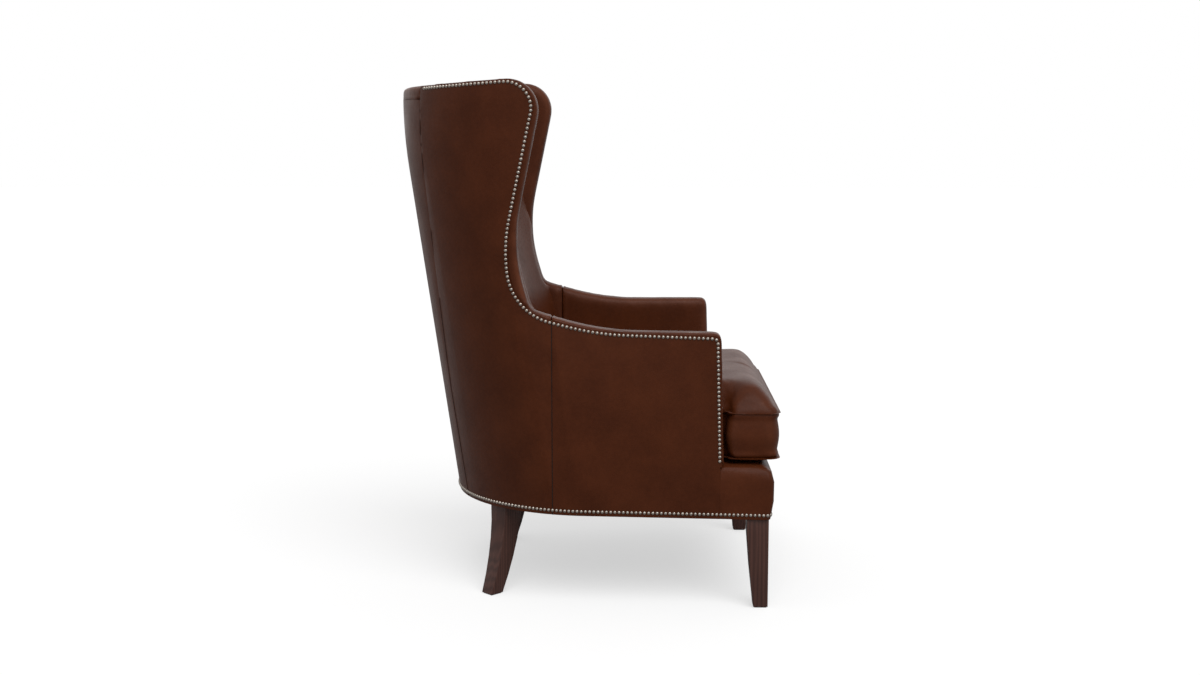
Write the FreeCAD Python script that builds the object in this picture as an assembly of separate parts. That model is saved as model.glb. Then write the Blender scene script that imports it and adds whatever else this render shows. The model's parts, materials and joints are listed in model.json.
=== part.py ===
import FreeCAD, Part
import math
import os

V = FreeCAD.Vector

# A leather wingback armchair with a barrel back, scooped wings that run down into the arms,
# a loose T-shaped seat cushion and four tapered wooden legs. Millimetres, +Z up, the front of
# the chair faces -Y, and the origin lies on the floor under the middle of the chair.

# Overall sizes
overall_depth = 888.0
body_bottom = 207.0
front_limit = -overall_depth / 2
rear_limit = overall_depth / 2

# Barrel shell: a tilted half cylinder whose sides splay out in straight tangents to the front
barrel_radius = 336.0
side_splay = math.radians(4.1)
back_rake = math.radians(8.27)
upright_height = 1145.0
curl_height = 160.0

# Padded side outline, from the foot of the arm front up over the arm and round the wing
arm_height = 631.5
arm_setback = 140.6
arm_front_lean = math.radians(1.44)
arm_corner_radius = 14.0
arm_rise_from_rear = 474.0
arm_rise_lift = 1.0
arm_rise_radius = 630.0
throat_from_rear = 318.7
throat_rise = 46.5
throat_radius = 20.0
waist_from_rear = 278.0
waist_height = 816.0
waist_radius = 378.0
wing_tip_from_rear = 356.8
wing_tip_height = 1197.0
wing_tip_radius = 68.5
top_edge_slope = math.radians(3.8)

# Nailed edge: how far each corner of the frame outline lies inside the padded outline
edge_arm_front_inset = 4.9
edge_arm_top_inset = 9.0
edge_rise_inset = 3.2
edge_rise_shift = 4.2
edge_throat_shift = 39.5
edge_throat_drop = 2.4
edge_throat_radius = 122.0
edge_waist_shift = 13.1
edge_waist_lift = 7.4
edge_waist_radius = 368.0
edge_tip_shift = 13.0
edge_tip_drop = 3.7
edge_tip_radius = 61.3

# Layers of the wall, from the outside in
leather = 1.5
curl_slack = 0.75
board_thickness = 2.0
frame_thickness = 24.2
wall_thickness = 52.0
nose_bevel = 9.0
nailed_bevel = 4.5
soft_gap = 0.3

# Seams
arm_seam_from_rear = 367.0
back_seam_low = 147.0
back_seam_waist = 143.0
back_seam_waist_height = 480.0
back_seam_top = 200.0
back_seam_radius = 900.0

# Inside back
inner_back_radius = 640.0
inner_back_rake = math.radians(14.2)
inner_back_from_rear = 312.0
inner_back_height = 500.0
back_pad_thickness = 60.0
slab_runs = 8
back_cap_depth = 28.0

# Frame members
rail_height = 92.0
frame_band = 42.0
post_width = 40.0
rib_thickness = 20.0
rib_half_span = 240.0
rib_top_half_span = 172.0
cross_rail_height = 45.0
cross_rail_depth = 22.0
lower_cross_rail_height = 345.0
rail_split_from_rear = 454.0
front_rail_thickness = 25.0
front_rail_inset = 18.0
block_size = 62.0
block_height = 60.0
wing_stile_width = 42.0
wing_stile_from_rear = 322.0

# Seat platform and webbing
deck_top = 326.0
deck_cloth_thickness = 1.5
webbing_thickness = 2.0
webbing_width = 58.0
seat_webbing_count = 4
back_webbing_count = 3
back_web_row_count = 5
back_webbing_pitch = 92.0

# Front border under the cushion: height, inset of the front face, inset of the sides
front_face_setback = 19.0
border_seam_from_front = 142.0
border_corner_radius = 13.0
border_swell = 8.0
border_roll = 24.0

# Seat cushion
cushion_front_swell = 5.0
cushion_ear_half_width = 329.0
cushion_ear_gap = 22.0
cushion_side_gap = 5.5
cushion_back_gap = 7.0
cushion_welt_low = 339.0
cushion_welt_high = 443.0
cushion_crown_top = 500.0
cushion_corner_radius = 30.0
cushion_notch_size = 9.0
cushion_crown_steps = ((0.0, 0.0), (8.0, 0.4), (22.0, 0.72), (44.0, 1.0))
cushion_belly_steps = ((0.0, 0.0), (34.0, 1.0))
welt_radius = 3.5
zipper_length = 380.0
zipper_height = 10.0

# Legs
front_leg_top = 49.0
front_leg_foot = 33.0
front_leg_outer = 357.0
front_leg_front_setback = 30.4
front_leg_taper_start = 176.0
rear_leg_top = 52.0
rear_leg_foot = 35.0
rear_leg_side = 214.6
rear_leg_from_rear = 254.0
rear_leg_sweep = 53.0
leg_bolt_radius = 4.0
bolt_sides = 8
leg_bolt_fit = 0.05
leg_bolt_reach = 45.0
leg_bolt_shift = 14.0
glide_thickness = 2.0
glide_inset = 3.0
dust_cover_thickness = 0.8
dust_cover_inset = 7.0

# Decorative nails
nail_radius = 4.7
nail_height = 3.0
nail_sides = 6
nail_inset = 4.6
nail_lift = 0.08
edge_nail_pitch = 9.9
base_nail_pitch = 9.6
base_nail_height = 217.3

# Derived places shared by several pieces
board_face = leather + curl_slack
frame_face = board_face + board_thickness
frame_back = frame_face + frame_thickness
frame_floor = body_bottom + dust_cover_thickness
rail_top = frame_floor + rail_height
arm_seam = rear_limit - arm_seam_from_rear
border_front = front_limit + front_face_setback
border_seam = front_limit + border_seam_from_front
border_top = deck_top
frame_front = border_front + front_rail_inset
arm_front = front_limit + arm_setback
far = 2 * overall_depth
curl_radius = curl_height / math.sin(back_rake)


def save(name, shape):
    shape.exportStep("parts/" + name + ".step")


def merged(shapes):
    return Part.makeCompound(shapes)


def mirrored(shape):
    return shape.mirror(V(0, 0, 0), V(1, 0, 0))


def save_pair(name, right_shape):
    """Writes the sitter's left (+X) piece and its mirror image on the right (-X)."""
    save(name + "_left", right_shape)
    save(name + "_right", mirrored(right_shape))


def block(x0, x1, y0, y1, z0, z1):
    return Part.makeBox(x1 - x0, y1 - y0, z1 - z0, V(x0, y0, z0))


def solids_of(shape):
    """Keeps the real pieces of a cut and drops slivers."""
    kept = [s for s in shape.Solids if s.Volume > 100.0]
    return kept[0] if len(kept) == 1 else merged(kept)


# Side outline of the padding and of the nailed edge


def rounded_wire(corners):
    """A closed wire through (Y, Z, radius) corners, each rounded by an arc that its sides allow."""
    count = len(corners)
    points = [V(0, y, z) for y, z, radius in corners]
    starts = []
    middles = []
    ends = []
    for i in range(count):
        here = points[i]
        to_last = points[i - 1] - here
        to_next = points[(i + 1) % count] - here
        room = 0.9 * min(to_last.Length, to_next.Length)
        to_last.normalize()
        to_next.normalize()
        half_angle = math.acos(max(-1.0, min(1.0, to_last.dot(to_next)))) / 2
        radius = min(corners[i][2], room * math.tan(half_angle))
        if radius <= 0:
            starts.append(here)
            middles.append(None)
            ends.append(here)
            continue
        tangent = radius / math.tan(half_angle)
        inward = to_last + to_next
        inward.normalize()
        centre = here + inward * (radius / math.sin(half_angle))
        starts.append(here + to_last * tangent)
        middles.append(centre - inward * radius)
        ends.append(here + to_next * tangent)
    edges = []
    for i in range(count):
        if middles[i] is not None:
            edges.append(Part.Arc(starts[i], middles[i], ends[i]).toShape())
        following = starts[(i + 1) % count]
        if (following - ends[i]).Length > 1e-6:
            edges.append(Part.makeLine(ends[i], following))
    return Part.Wire(edges)


def top_edge_drop(y, y_from):
    return (y - y_from) * math.tan(top_edge_slope)


def cap_floor():
    """Height where the outside back panel ends and the cap of the inside back begins."""
    return wing_tip_height - top_edge_drop(rear_limit, rear_limit - wing_tip_from_rear) - back_cap_depth


def padded_outline():
    """Outline of the padding, seen from the side."""
    foot = arm_front - (arm_height - body_bottom) * math.tan(arm_front_lean)
    tip = rear_limit - wing_tip_from_rear
    back = rear_limit + 60.0
    return rounded_wire((
        (foot, body_bottom, 0),
        (arm_front, arm_height, arm_corner_radius),
        (rear_limit - arm_rise_from_rear, arm_height + arm_rise_lift, arm_rise_radius),
        (rear_limit - throat_from_rear, arm_height + throat_rise, throat_radius),
        (rear_limit - waist_from_rear, waist_height, waist_radius),
        (tip, wing_tip_height, wing_tip_radius),
        (back, wing_tip_height - top_edge_drop(back, tip), 0),
        (back, body_bottom, 0),
    ))


def nailed_outline():
    """Outline of the frame edge, where the outside covers end in a row of nails."""
    foot = arm_front - (arm_height - body_bottom) * math.tan(arm_front_lean)
    tip = rear_limit - wing_tip_from_rear + edge_tip_shift
    tip_height = wing_tip_height - edge_tip_drop
    back = rear_limit + 60.0
    return rounded_wire((
        (foot + edge_arm_front_inset, body_bottom, 0),
        (arm_front + edge_arm_front_inset, arm_height - edge_arm_top_inset, arm_corner_radius),
        (rear_limit - arm_rise_from_rear + edge_rise_shift,
         arm_height + arm_rise_lift - edge_rise_inset, arm_rise_radius),
        (rear_limit - throat_from_rear + edge_throat_shift,
         arm_height + throat_rise - edge_throat_drop, edge_throat_radius),
        (rear_limit - waist_from_rear + edge_waist_shift, waist_height + edge_waist_lift, edge_waist_radius),
        (tip, tip_height, edge_tip_radius),
        (back, tip_height - top_edge_drop(back, tip), 0),
        (back, body_bottom, 0),
    ))


def side_prism(wire, inset=0.0, both_sides=False):
    """The space inside a side outline, drawn in by an inset, across half or all of the chair."""
    outline = wire if inset == 0.0 else wire.makeOffset2D(-inset)
    face = Part.Face(outline)
    if both_sides:
        face.translate(V(-far, 0, 0))
        return face.extrude(V(2 * far, 0, 0))
    return face.extrude(V(far, 0, 0))


# Barrel shell


def barrel_section(outer, inner):
    """Plan of the wall between two depths under the outer face; with no inner depth, all that it holds."""
    centre = rear_limit - barrel_radius
    front = front_limit - 40.0
    cosine = math.cos(side_splay)
    sine = math.sin(side_splay)

    def chain(depth):
        radius = barrel_radius - depth
        reach = (radius - (front - centre) * sine) / cosine
        return (V(reach, front, upright_height),
                V(radius * cosine, centre + radius * sine, upright_height),
                V(0, centre + radius, upright_height),
                V(-radius * cosine, centre + radius * sine, upright_height),
                V(-reach, front, upright_height))

    a = chain(outer)
    edges = [Part.makeLine(a[0], a[1]), Part.Arc(a[1], a[2], a[3]).toShape(), Part.makeLine(a[3], a[4])]
    if inner is None:
        edges.append(Part.makeLine(a[4], a[0]))
    else:
        b = chain(inner)
        edges.append(Part.makeLine(a[4], b[4]))
        edges.append(Part.makeLine(b[4], b[3]))
        edges.append(Part.Arc(b[3], b[2], b[1]).toShape())
        edges.append(Part.makeLine(b[1], b[0]))
        edges.append(Part.makeLine(b[0], a[0]))
    return Part.Face(Part.Wire(edges))


def barrel(outer, inner=None, plain=False):
    """The section swept down the back: upright at the top, then a gentle curl, then the straight rake.

    Hidden layers are plain: one flat run, mitred to its neighbours, stands in for the curl.
    """
    section = barrel_section(outer, inner)
    pivot = V(0, rear_limit - curl_radius, upright_height)
    across = V(1, 0, 0)
    angle = -math.degrees(back_rake)
    turned = section.copy()
    turned.rotate(pivot, across, angle)
    fall = V(0, math.sin(back_rake), math.cos(back_rake)) * -(upright_height + 60.0)
    if plain:
        whole = mitred_runs(section, pivot)
    else:
        upright = section.extrude(V(0, 0, wing_tip_height - upright_height + 40.0))
        curl = section.revolve(pivot, across, angle)
        whole = upright.fuse([curl, turned.extrude(fall)]).removeSplitter()
    return whole.common(block(-far, far, -far, far, body_bottom, 2 * wing_tip_height))


def mitred_runs(section, pivot):
    """Three straight runs that touch the curl: above it, half way round it and below it."""
    across = V(1, 0, 0)
    reach = upright_height + 60.0
    mitres = (-far, back_rake / 4, 3 * back_rake / 4, far)
    runs = []
    for i, turn in enumerate((0.0, back_rake / 2, back_rake)):
        face = section.copy()
        face.rotate(pivot, across, -math.degrees(turn))
        along = V(0, math.sin(turn), math.cos(turn))
        face.translate(along * -reach)
        run = face.extrude(along * 2 * reach)
        if i > 0:
            run = run.cut(wedge(pivot, mitres[i], 1.0))
        if i < 2:
            run = run.cut(wedge(pivot, mitres[i + 1], -1.0))
        runs.append(run)
    return runs[0].fuse(runs[1:])


def wedge(pivot, turn, side):
    """The half space above (side 1) or below (side -1) a plane that turns about the curl's pivot."""
    slab = block(-far, far, -2 * far, 2 * far, 0, 2 * far) if side > 0 else block(
        -far, far, -2 * far, 2 * far, -2 * far, 0)
    slab.rotate(V(0, 0, 0), V(1, 0, 0), -math.degrees(turn))
    slab.translate(pivot)
    return slab


def axis_y(z):
    """Where the tilted axis of the barrel crosses height z."""
    reach = curl_radius - barrel_radius
    start_y = rear_limit - curl_radius + reach * math.cos(back_rake)
    start_z = upright_height - reach * math.sin(back_rake)
    return start_y + (z - start_z) * math.tan(back_rake)


def side_x(y, z, depth):
    """Half width of the barrel's splayed side at a depth under its outer face."""
    lean = math.sin(side_splay) * math.cos(back_rake)
    return (barrel_radius - depth - lean * (y - axis_y(z))) / math.cos(side_splay)


def back_panel_zone(half_shift=0.0):
    """The space behind the outside back panel, whose two seams open out towards the top."""
    right = [(back_seam_low + half_shift, body_bottom - 10.0, 0),
             (back_seam_waist + half_shift, back_seam_waist_height, back_seam_radius),
             (back_seam_top + half_shift, wing_tip_height + 10.0, 0)]
    left = [(-x, z, radius) for x, z, radius in reversed(right)]
    wire = rounded_wire(right + left)
    face = Part.Face(wire)
    face.rotate(V(0, 0, 0), V(0, 0, 1), -90)
    return face.extrude(V(0, far, 0))


def behind(y):
    return block(-far, far, y, far, -far, far)


def ahead(y):
    return block(-far, far, -far, y, -far, far)


def above(z):
    return block(-far, far, -far, far, z, far)


def right_half():
    return block(0, far, -far, far, -far, far)


# Inside back


def slab_edge(depth, y_shift, plain):
    """The curve of the inside back at a depth behind its face; hidden ones are flat runs that touch it."""
    radius = inner_back_radius + depth
    reach = barrel_radius
    side = math.sqrt(radius ** 2 - reach ** 2)
    if not plain:
        return [Part.Arc(V(reach, side, 0), V(0, radius, 0), V(-reach, side, 0)).toShape()]
    half_angle = math.asin(reach / radius)
    points = [V(reach, side, 0)]
    for i in range(slab_runs):
        angle = half_angle * (1 - (2 * i + 1) / slab_runs)
        corner = radius / math.cos(half_angle / slab_runs)
        points.append(V(corner * math.sin(angle), corner * math.cos(angle), 0))
    points.append(V(-reach, side, 0))
    return [Part.makeLine(points[i], points[i + 1]) for i in range(len(points) - 1)]


def inner_slab(front_depth, back_depth, plain=True):
    """A curved slab along the raked inside back, between two depths behind its face."""
    near = slab_edge(front_depth, 0, plain)
    deep = slab_edge(back_depth, 0, True)
    first = near[0].firstVertex(True).Point
    last = near[-1].lastVertex(True).Point
    deep_first = deep[0].firstVertex(True).Point
    deep_last = deep[-1].lastVertex(True).Point
    edges = near + deep + [Part.makeLine(first, deep_first), Part.makeLine(last, deep_last)]
    outline = Part.Wire(Part.__sortEdges__(edges))
    slab = Part.Face(outline).extrude(V(0, 0, 2 * wing_tip_height))
    slab.translate(V(0, -inner_back_radius, -wing_tip_height))
    slab.rotate(V(0, 0, 0), V(1, 0, 0), -math.degrees(inner_back_rake))
    slab.translate(V(0, rear_limit - inner_back_from_rear, inner_back_height))
    return slab


def inner_back_y(z):
    """Y of the inside back's face on the centreline."""
    return rear_limit - inner_back_from_rear + (z - inner_back_height) * math.tan(inner_back_rake)


# Wall forms: padding and leather


def nose_edges(wall, middle, inner):
    """Edges between the padded outline and the inner or the outer face of the wall."""
    picked = []
    for edge in wall.Edges:
        owners = [f for f in wall.Faces if any(edge.isSame(e) for e in f.Edges)]
        flags = [is_outline_face(f) for f in owners]
        on_nose = edge.BoundBox.XMax > 1.0 and edge.BoundBox.ZMax > deck_top + nose_bevel
        point = edge.valueAt((edge.FirstParameter + edge.LastParameter) / 2)
        if len(flags) == 2 and flags.count(True) == 1 and on_nose:
            if middle.isInside(point, 0.01, True) == inner:
                picked.append(edge)
    return picked


def is_outline_face(face):
    """True for faces made by the side outline, which all run straight across the chair."""
    if face.Surface.TypeId == "Part::GeomToroid":
        return False
    u0, u1, v0, v1 = face.ParameterRange
    return abs(face.normalAt((u0 + u1) / 2, (v0 + v1) / 2).x) < 1e-6


def soft_wall(skin):
    """The left wall of the chair at a depth under its leather, with its edges eased all the way round."""
    ring = barrel(skin, wall_thickness - skin)
    wall = ring.common(side_prism(padded_outline(), skin))
    wall = wall.common(above(deck_top + soft_gap))
    middle = barrel(wall_thickness / 2, None, True)
    wall = wall.makeChamfer(nose_bevel - skin, nose_edges(wall, middle, True))
    return wall.makeChamfer(nailed_bevel - skin, nose_edges(wall, middle, False))


def wall_layers():
    """Padding and leather of the left wall, still in one run from arm front to centre back."""
    frame_space = barrel(-5.0, frame_back, True).common(side_prism(nailed_outline()))
    outer = soft_wall(0.0)
    inner = soft_wall(leather)
    padding = inner.cut(frame_space)
    cover = outer.cut(inner).cut(frame_space)
    return padding, cover


def build_wall():
    padding, cover = wall_layers()
    back_zone = back_panel_zone()
    front_bottom = block(-far, far, -far, border_seam, -far, border_top + soft_gap)
    for name, layer in (("pad", padding), ("cover", cover)):
        arm = solids_of(layer.common(ahead(arm_seam)).cut(front_bottom))
        wing = solids_of(layer.common(behind(arm_seam)).cut(back_zone))
        if name == "pad":
            save_pair("arm_pad", arm)
            save_pair("wing_pad", wing)
        else:
            save_pair("inside_arm_cover", arm)
            save_pair("inside_wing_cover", wing)


def back_form(skin, outer_depth, plain):
    """Inside back: the raked slab between the wings and a cap that closes the top of the back."""
    held = barrel(wall_thickness + (curl_slack if plain else 0.0), None, plain)
    outline = side_prism(padded_outline(), skin, True)
    slab = inner_slab(skin, back_pad_thickness, plain).common(held).common(outline)
    cap = barrel(outer_depth, None, plain).common(outline).common(back_panel_zone())
    cap = cap.common(inner_slab(skin, far / 2, plain)).common(above(cap_floor()))
    return slab.fuse(cap).common(above(deck_top + soft_gap))


def build_back():
    padding = back_form(leather, board_face, True)
    cover = back_form(0.0, 0.0, False).cut(padding)
    save("back_pad", solids_of(padding))
    save("inside_back_cover", solids_of(cover))


# Outside covers, stiffening boards and the frame inside the wall


def build_outside():
    """Three leather panels a side meet at seams; each has a stiff board behind it."""
    edge = side_prism(nailed_outline())
    back_zone = back_panel_zone()
    border_box = block(-far, far, -far, border_seam, -far, border_top + soft_gap)
    skin = barrel(0.0).cut(barrel(board_face, None, True))
    layers = (("cover", skin), ("board", barrel(board_face, frame_face, True)))
    for kind, ring in layers:
        floor = body_bottom if kind == "cover" else frame_floor
        side = ring.common(edge).common(above(floor))
        arm = side.common(ahead(arm_seam)).cut(border_box)
        wing = side.common(behind(arm_seam)).cut(back_zone)
        full_edge = side_prism(nailed_outline(), 0.0, True)
        back = ring.common(full_edge).common(back_zone).common(above(floor))
        back = back.cut(above(cap_floor()))
        save_pair("outside_arm_" + kind, solids_of(arm))
        save_pair("outside_wing_" + kind, solids_of(wing))
        save("outside_back_" + kind, solids_of(back))


def frame_ring():
    return barrel(frame_face, frame_back, True)


def build_base_frame(ring):
    split = rear_limit - rail_split_from_rear
    rails = ring.common(block(-far, far, frame_front, far, frame_floor, rail_top))
    save_pair("side_rail", solids_of(rails.common(ahead(split)).common(right_half())))
    save("back_rail", solids_of(rails.common(behind(split))))
    held = barrel(frame_back, None, True)
    front = held.common(block(-far, far, frame_front, frame_front + front_rail_thickness,
                              frame_floor, rail_top))
    save("front_rail", front)


def edge_band():
    """A band of frame just inside the nailed edge."""
    return side_prism(nailed_outline()).cut(side_prism(nailed_outline(), frame_band))


def build_side_frame(ring):
    band = ring.common(edge_band()).common(above(rail_top))
    rail_floor = arm_height - edge_arm_top_inset - frame_band
    front_zone = block(0, far, -far, arm_front + 3 * frame_band, -far, rail_floor)
    border_box = block(-far, far, -far, border_seam, -far, border_top + soft_gap)
    save_pair("arm_front_post", solids_of(band.common(front_zone).cut(border_box)))
    arm_zone = block(0, far, -far, arm_seam, rail_floor, far)
    save_pair("arm_rail", solids_of(band.common(arm_zone)))
    stile_front = rear_limit - wing_stile_from_rear
    stile = ring.common(block(0, far, stile_front, stile_front + wing_stile_width, rail_top, waist_height))
    stile = stile.common(side_prism(nailed_outline()))
    tip_floor = wing_tip_height - wing_tip_radius - frame_band
    wing_zone = block(0, far, arm_seam, far, rail_floor, tip_floor)
    ramp = band.common(wing_zone).common(ahead(rear_limit - waist_from_rear + 2 * frame_band))
    save_pair("wing_post", solids_of(ramp.fuse(stile).removeSplitter()))
    post_zone = back_panel_zone(post_width / 2).cut(back_panel_zone(-post_width / 2))
    edge = side_prism(nailed_outline())
    post = ring.common(post_zone).common(edge).common(above(rail_top)).cut(above(cap_floor()))
    save_pair("back_post", solids_of(post.common(right_half())))
    top_zone = block(0, far, 0, far, tip_floor, far)
    top_band = band.common(top_zone).cut(back_panel_zone(post_width / 2))
    save_pair("wing_top_rail", solids_of(top_band))
    between = back_panel_zone(-post_width / 2)
    crest = ring.common(between).common(block(-far, far, 0, far, cap_floor() - cross_rail_height, cap_floor()))
    save("top_back_rail", solids_of(crest))


def between_ribs(inset, z0, z1):
    """The space between the two ribs, which lean together towards the top."""
    ceiling = cap_floor()
    slope = (rib_half_span - rib_top_half_span) / (ceiling - rail_top)

    def half(z):
        return rib_half_span - inset - (z - rail_top) * slope

    points = [V(half(z0), -far, z0), V(half(z1), -far, z1), V(-half(z1), -far, z1), V(-half(z0), -far, z0)]
    return Part.Face(Part.makePolygon(points + [points[0]])).extrude(V(0, 2 * far, 0))


def build_inner_back_frame():
    """Two shaped ribs and two cross rails carry the webbing behind the back pad."""
    held = barrel(frame_back, None, True)
    web_front = back_pad_thickness
    web_back = back_pad_thickness + 2 * webbing_thickness
    ceiling = cap_floor()
    rib = between_ribs(0.0, rail_top, ceiling).cut(between_ribs(rib_thickness, rail_top, ceiling))
    rib = rib.common(right_half()).common(held).common(inner_slab(web_back, far / 2))
    save_pair("back_rib", solids_of(rib.cut(barrel(frame_back, wall_thickness, True).cut(back_panel_zone()))))
    slab = inner_slab(web_back, web_back + cross_rail_depth).common(held)
    low_end = lower_cross_rail_height + cross_rail_height
    high_top = ceiling - cross_rail_height
    high_start = high_top - cross_rail_height
    save("lower_back_rail", solids_of(slab.common(between_ribs(rib_thickness, lower_cross_rail_height, low_end))))
    save("upper_back_rail", solids_of(slab.common(between_ribs(rib_thickness, high_start, high_top))))
    upright = inner_slab(web_front, web_front + webbing_thickness)
    strips = []
    for i in range(back_webbing_count):
        x = (i - (back_webbing_count - 1) / 2) * back_webbing_pitch
        zone = block(x - webbing_width / 2, x + webbing_width / 2, -far, far, lower_cross_rail_height, high_top)
        strips.append(upright.common(zone))
    level = inner_slab(web_front + webbing_thickness, web_back)
    pitch = (high_start - low_end) / back_web_row_count
    for i in range(back_web_row_count):
        z = low_end + (i + 0.5) * pitch
        strips.append(level.common(between_ribs(0.0, z - webbing_width / 2, z + webbing_width / 2)))
    save("back_webbing", merged([s for strip in strips for s in strip.Solids]))


def front_leg_centre(size):
    return (front_leg_outer - size / 2, front_limit + front_leg_front_setback + size / 2)


def bolt_places():
    """Bolt axes: one in each leg, moved inwards so that it meets the corner block."""
    x, y = front_leg_centre(front_leg_top)
    front = (x - leg_bolt_shift, y + leg_bolt_shift)
    inward = leg_bolt_shift / math.sqrt(2)
    rear_y = rear_limit - rear_leg_from_rear
    rear = (rear_leg_side - inward, rear_y - inward)
    return (front, rear)


def bolt_shape(place, radius):
    """Hanger bolt, or the hole for one, as a prism with few faces."""
    points = []
    for i in range(bolt_sides):
        angle = 2 * math.pi * i / bolt_sides
        points.append(V(place[0] + radius * math.cos(angle), place[1] + radius * math.sin(angle),
                        frame_floor - leg_bolt_reach))
    return Part.Face(Part.makePolygon(points + [points[0]])).extrude(V(0, 0, 2 * leg_bolt_reach))


def bolt_hole(place):
    return bolt_shape(place, leg_bolt_radius + leg_bolt_fit)


def build_blocks_and_bolts():
    held = barrel(frame_back, None, True)
    top = frame_floor + block_height
    front_place, rear_place = bolt_places()
    y = frame_front + front_rail_thickness
    x = side_x(y, frame_floor, frame_back) + block_size / 6
    corner = Part.makePolygon([V(x, y, frame_floor), V(x - 1.6 * block_size, y, frame_floor),
                               V(x - 0.4 * block_size, y + 1.2 * block_size, frame_floor),
                               V(x, y + 1.2 * block_size, frame_floor), V(x, y, frame_floor)])
    front = Part.Face(corner).extrude(V(0, 0, block_height)).common(held)
    front = front.cut(bolt_hole(front_place))
    rear = Part.makeBox(block_size * 1.3, block_size * 1.3, top - frame_floor,
                        V(-block_size * 0.95, -block_size * 0.65, frame_floor))
    rear.rotate(V(0, 0, 0), V(0, 0, 1), 45)
    rear.translate(V(rear_leg_side, rear_limit - rear_leg_from_rear, 0))
    rear = rear.common(held).cut(bolt_hole(rear_place))
    blocks = [front, rear, mirrored(front), mirrored(rear)]
    save("corner_blocks", merged(blocks))
    bolts = []
    for place in (front_place, rear_place):
        bolt = bolt_shape(place, leg_bolt_radius)
        bolts.append(bolt)
        bolts.append(mirrored(bolt))
    save("leg_bolts", merged(bolts))


# Legs


def stacked(wires):
    """A solid through a stack of squares that are parallel to each other, all its faces flat."""
    faces = [Part.Face(wires[0]), Part.Face(wires[-1])]
    for low, high in zip(wires, wires[1:]):
        a = [v.Point for v in low.OrderedVertexes]
        b = [v.Point for v in high.OrderedVertexes]
        for i in range(len(a)):
            j = (i + 1) % len(a)
            faces.append(Part.Face(Part.makePolygon([a[i], a[j], b[j], b[i], a[i]])))
    solid = Part.Solid(Part.Shell(faces))
    solid.fix(1e-7, 1e-7, 1e-7)
    return solid


def square_wire(cx, cy, size, z, turn=0.0):
    half = size / 2
    points = []
    for sx, sy in ((1, 1), (-1, 1), (-1, -1), (1, -1)):
        px = sx * half * math.cos(turn) - sy * half * math.sin(turn)
        py = sx * half * math.sin(turn) + sy * half * math.cos(turn)
        points.append(V(cx + px, cy + py, z))
    return Part.makePolygon(points + [points[0]])


def build_legs():
    """Front legs taper on their two inner faces; the rear ones sweep outwards on the diagonal."""
    sections = []
    for z, share in ((glide_thickness, 0.0), (0.55 * front_leg_taper_start, 0.62),
                     (front_leg_taper_start, 1.0), (frame_floor, 1.0)):
        size = front_leg_foot + (front_leg_top - front_leg_foot) * share
        cx, cy = front_leg_centre(size)
        sections.append(square_wire(cx, cy, size, z))
    front_place, rear_place = bolt_places()
    front = stacked(sections).cut(bolt_hole(front_place))
    save_pair("front_leg", front)
    sections = []
    steps = 5
    for i in range(steps + 1):
        drop = i / steps
        z = frame_floor + (glide_thickness - frame_floor) * drop
        size = rear_leg_top + (rear_leg_foot - rear_leg_top) * drop
        out = rear_leg_sweep * drop ** 1.8 / math.sqrt(2)
        sections.append(square_wire(rear_leg_side + out, rear_limit - rear_leg_from_rear + out * 0.86,
                                    size, z, math.pi / 4))
    rear = stacked(sections).cut(bolt_hole(rear_place))
    save_pair("rear_leg", rear)
    cx, cy = front_leg_centre(front_leg_foot)
    pad = front_leg_foot - 2 * glide_inset
    glide = Part.Face(square_wire(cx, cy, pad, 0)).extrude(V(0, 0, glide_thickness))
    out = rear_leg_sweep / math.sqrt(2)
    rear_glide = Part.Face(square_wire(rear_leg_side + out, rear_limit - rear_leg_from_rear + out * 0.86,
                                       rear_leg_foot - 2 * glide_inset, 0, math.pi / 4))
    rear_glide = rear_glide.extrude(V(0, 0, glide_thickness))
    save("glides", merged([glide, mirrored(glide), rear_glide, mirrored(rear_glide)]))


# Seat platform and front border


def build_deck():
    held = barrel(frame_back, None, True)
    span = block(-far, far, border_seam, far, -far, far)
    slope = barrel(frame_back + 1.0, None, True)
    web_low = rail_top
    web_high = rail_top + webbing_thickness
    strips = []
    wide = side_x(0, rail_top, frame_back)
    pitch = 2 * wide / (seat_webbing_count + 1)
    full = barrel(frame_face + 2.0, None, True)
    for i in range(seat_webbing_count):
        x = (i - (seat_webbing_count - 1) / 2) * pitch
        zone = block(x - webbing_width / 2, x + webbing_width / 2, frame_front + 3.0, far, web_low, web_high)
        strips.append(full.common(zone))
    depth = rear_limit - barrel_radius - frame_front
    for i in range(seat_webbing_count):
        y = frame_front + depth * (i + 0.9) / (seat_webbing_count + 0.2)
        zone = block(-far, far, y - webbing_width / 2, y + webbing_width / 2, web_high,
                     web_high + webbing_thickness)
        strips.append(full.common(zone))
    posts = barrel(frame_face, frame_back, True)
    post_space = posts.common(above(rail_top)).common(side_prism(nailed_outline(), 0.0, True))
    strips = [s.cut(post_space) for s in strips]
    save("seat_webbing", merged([s for strip in strips for s in strip.Solids]))
    pad_low = web_high + webbing_thickness
    cloth_low = deck_top - deck_cloth_thickness
    pad = slope.common(span).common(block(-far, far, -far, far, pad_low, cloth_low))
    ribs = between_ribs(-1.0, rail_top, cap_floor()).cut(between_ribs(rib_thickness + 1.0, rail_top, cap_floor()))
    ribs = ribs.common(inner_slab(back_pad_thickness, far / 2))
    pad = pad.cut(ribs)
    save("deck_pad", solids_of(pad))
    cloth = slope.common(span).common(block(-far, far, -far, far, cloth_low, deck_top))
    cloth = cloth.cut(ribs)
    save("deck_cloth", solids_of(cloth))
    save("dust_cover", dust_cover(held))


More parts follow.
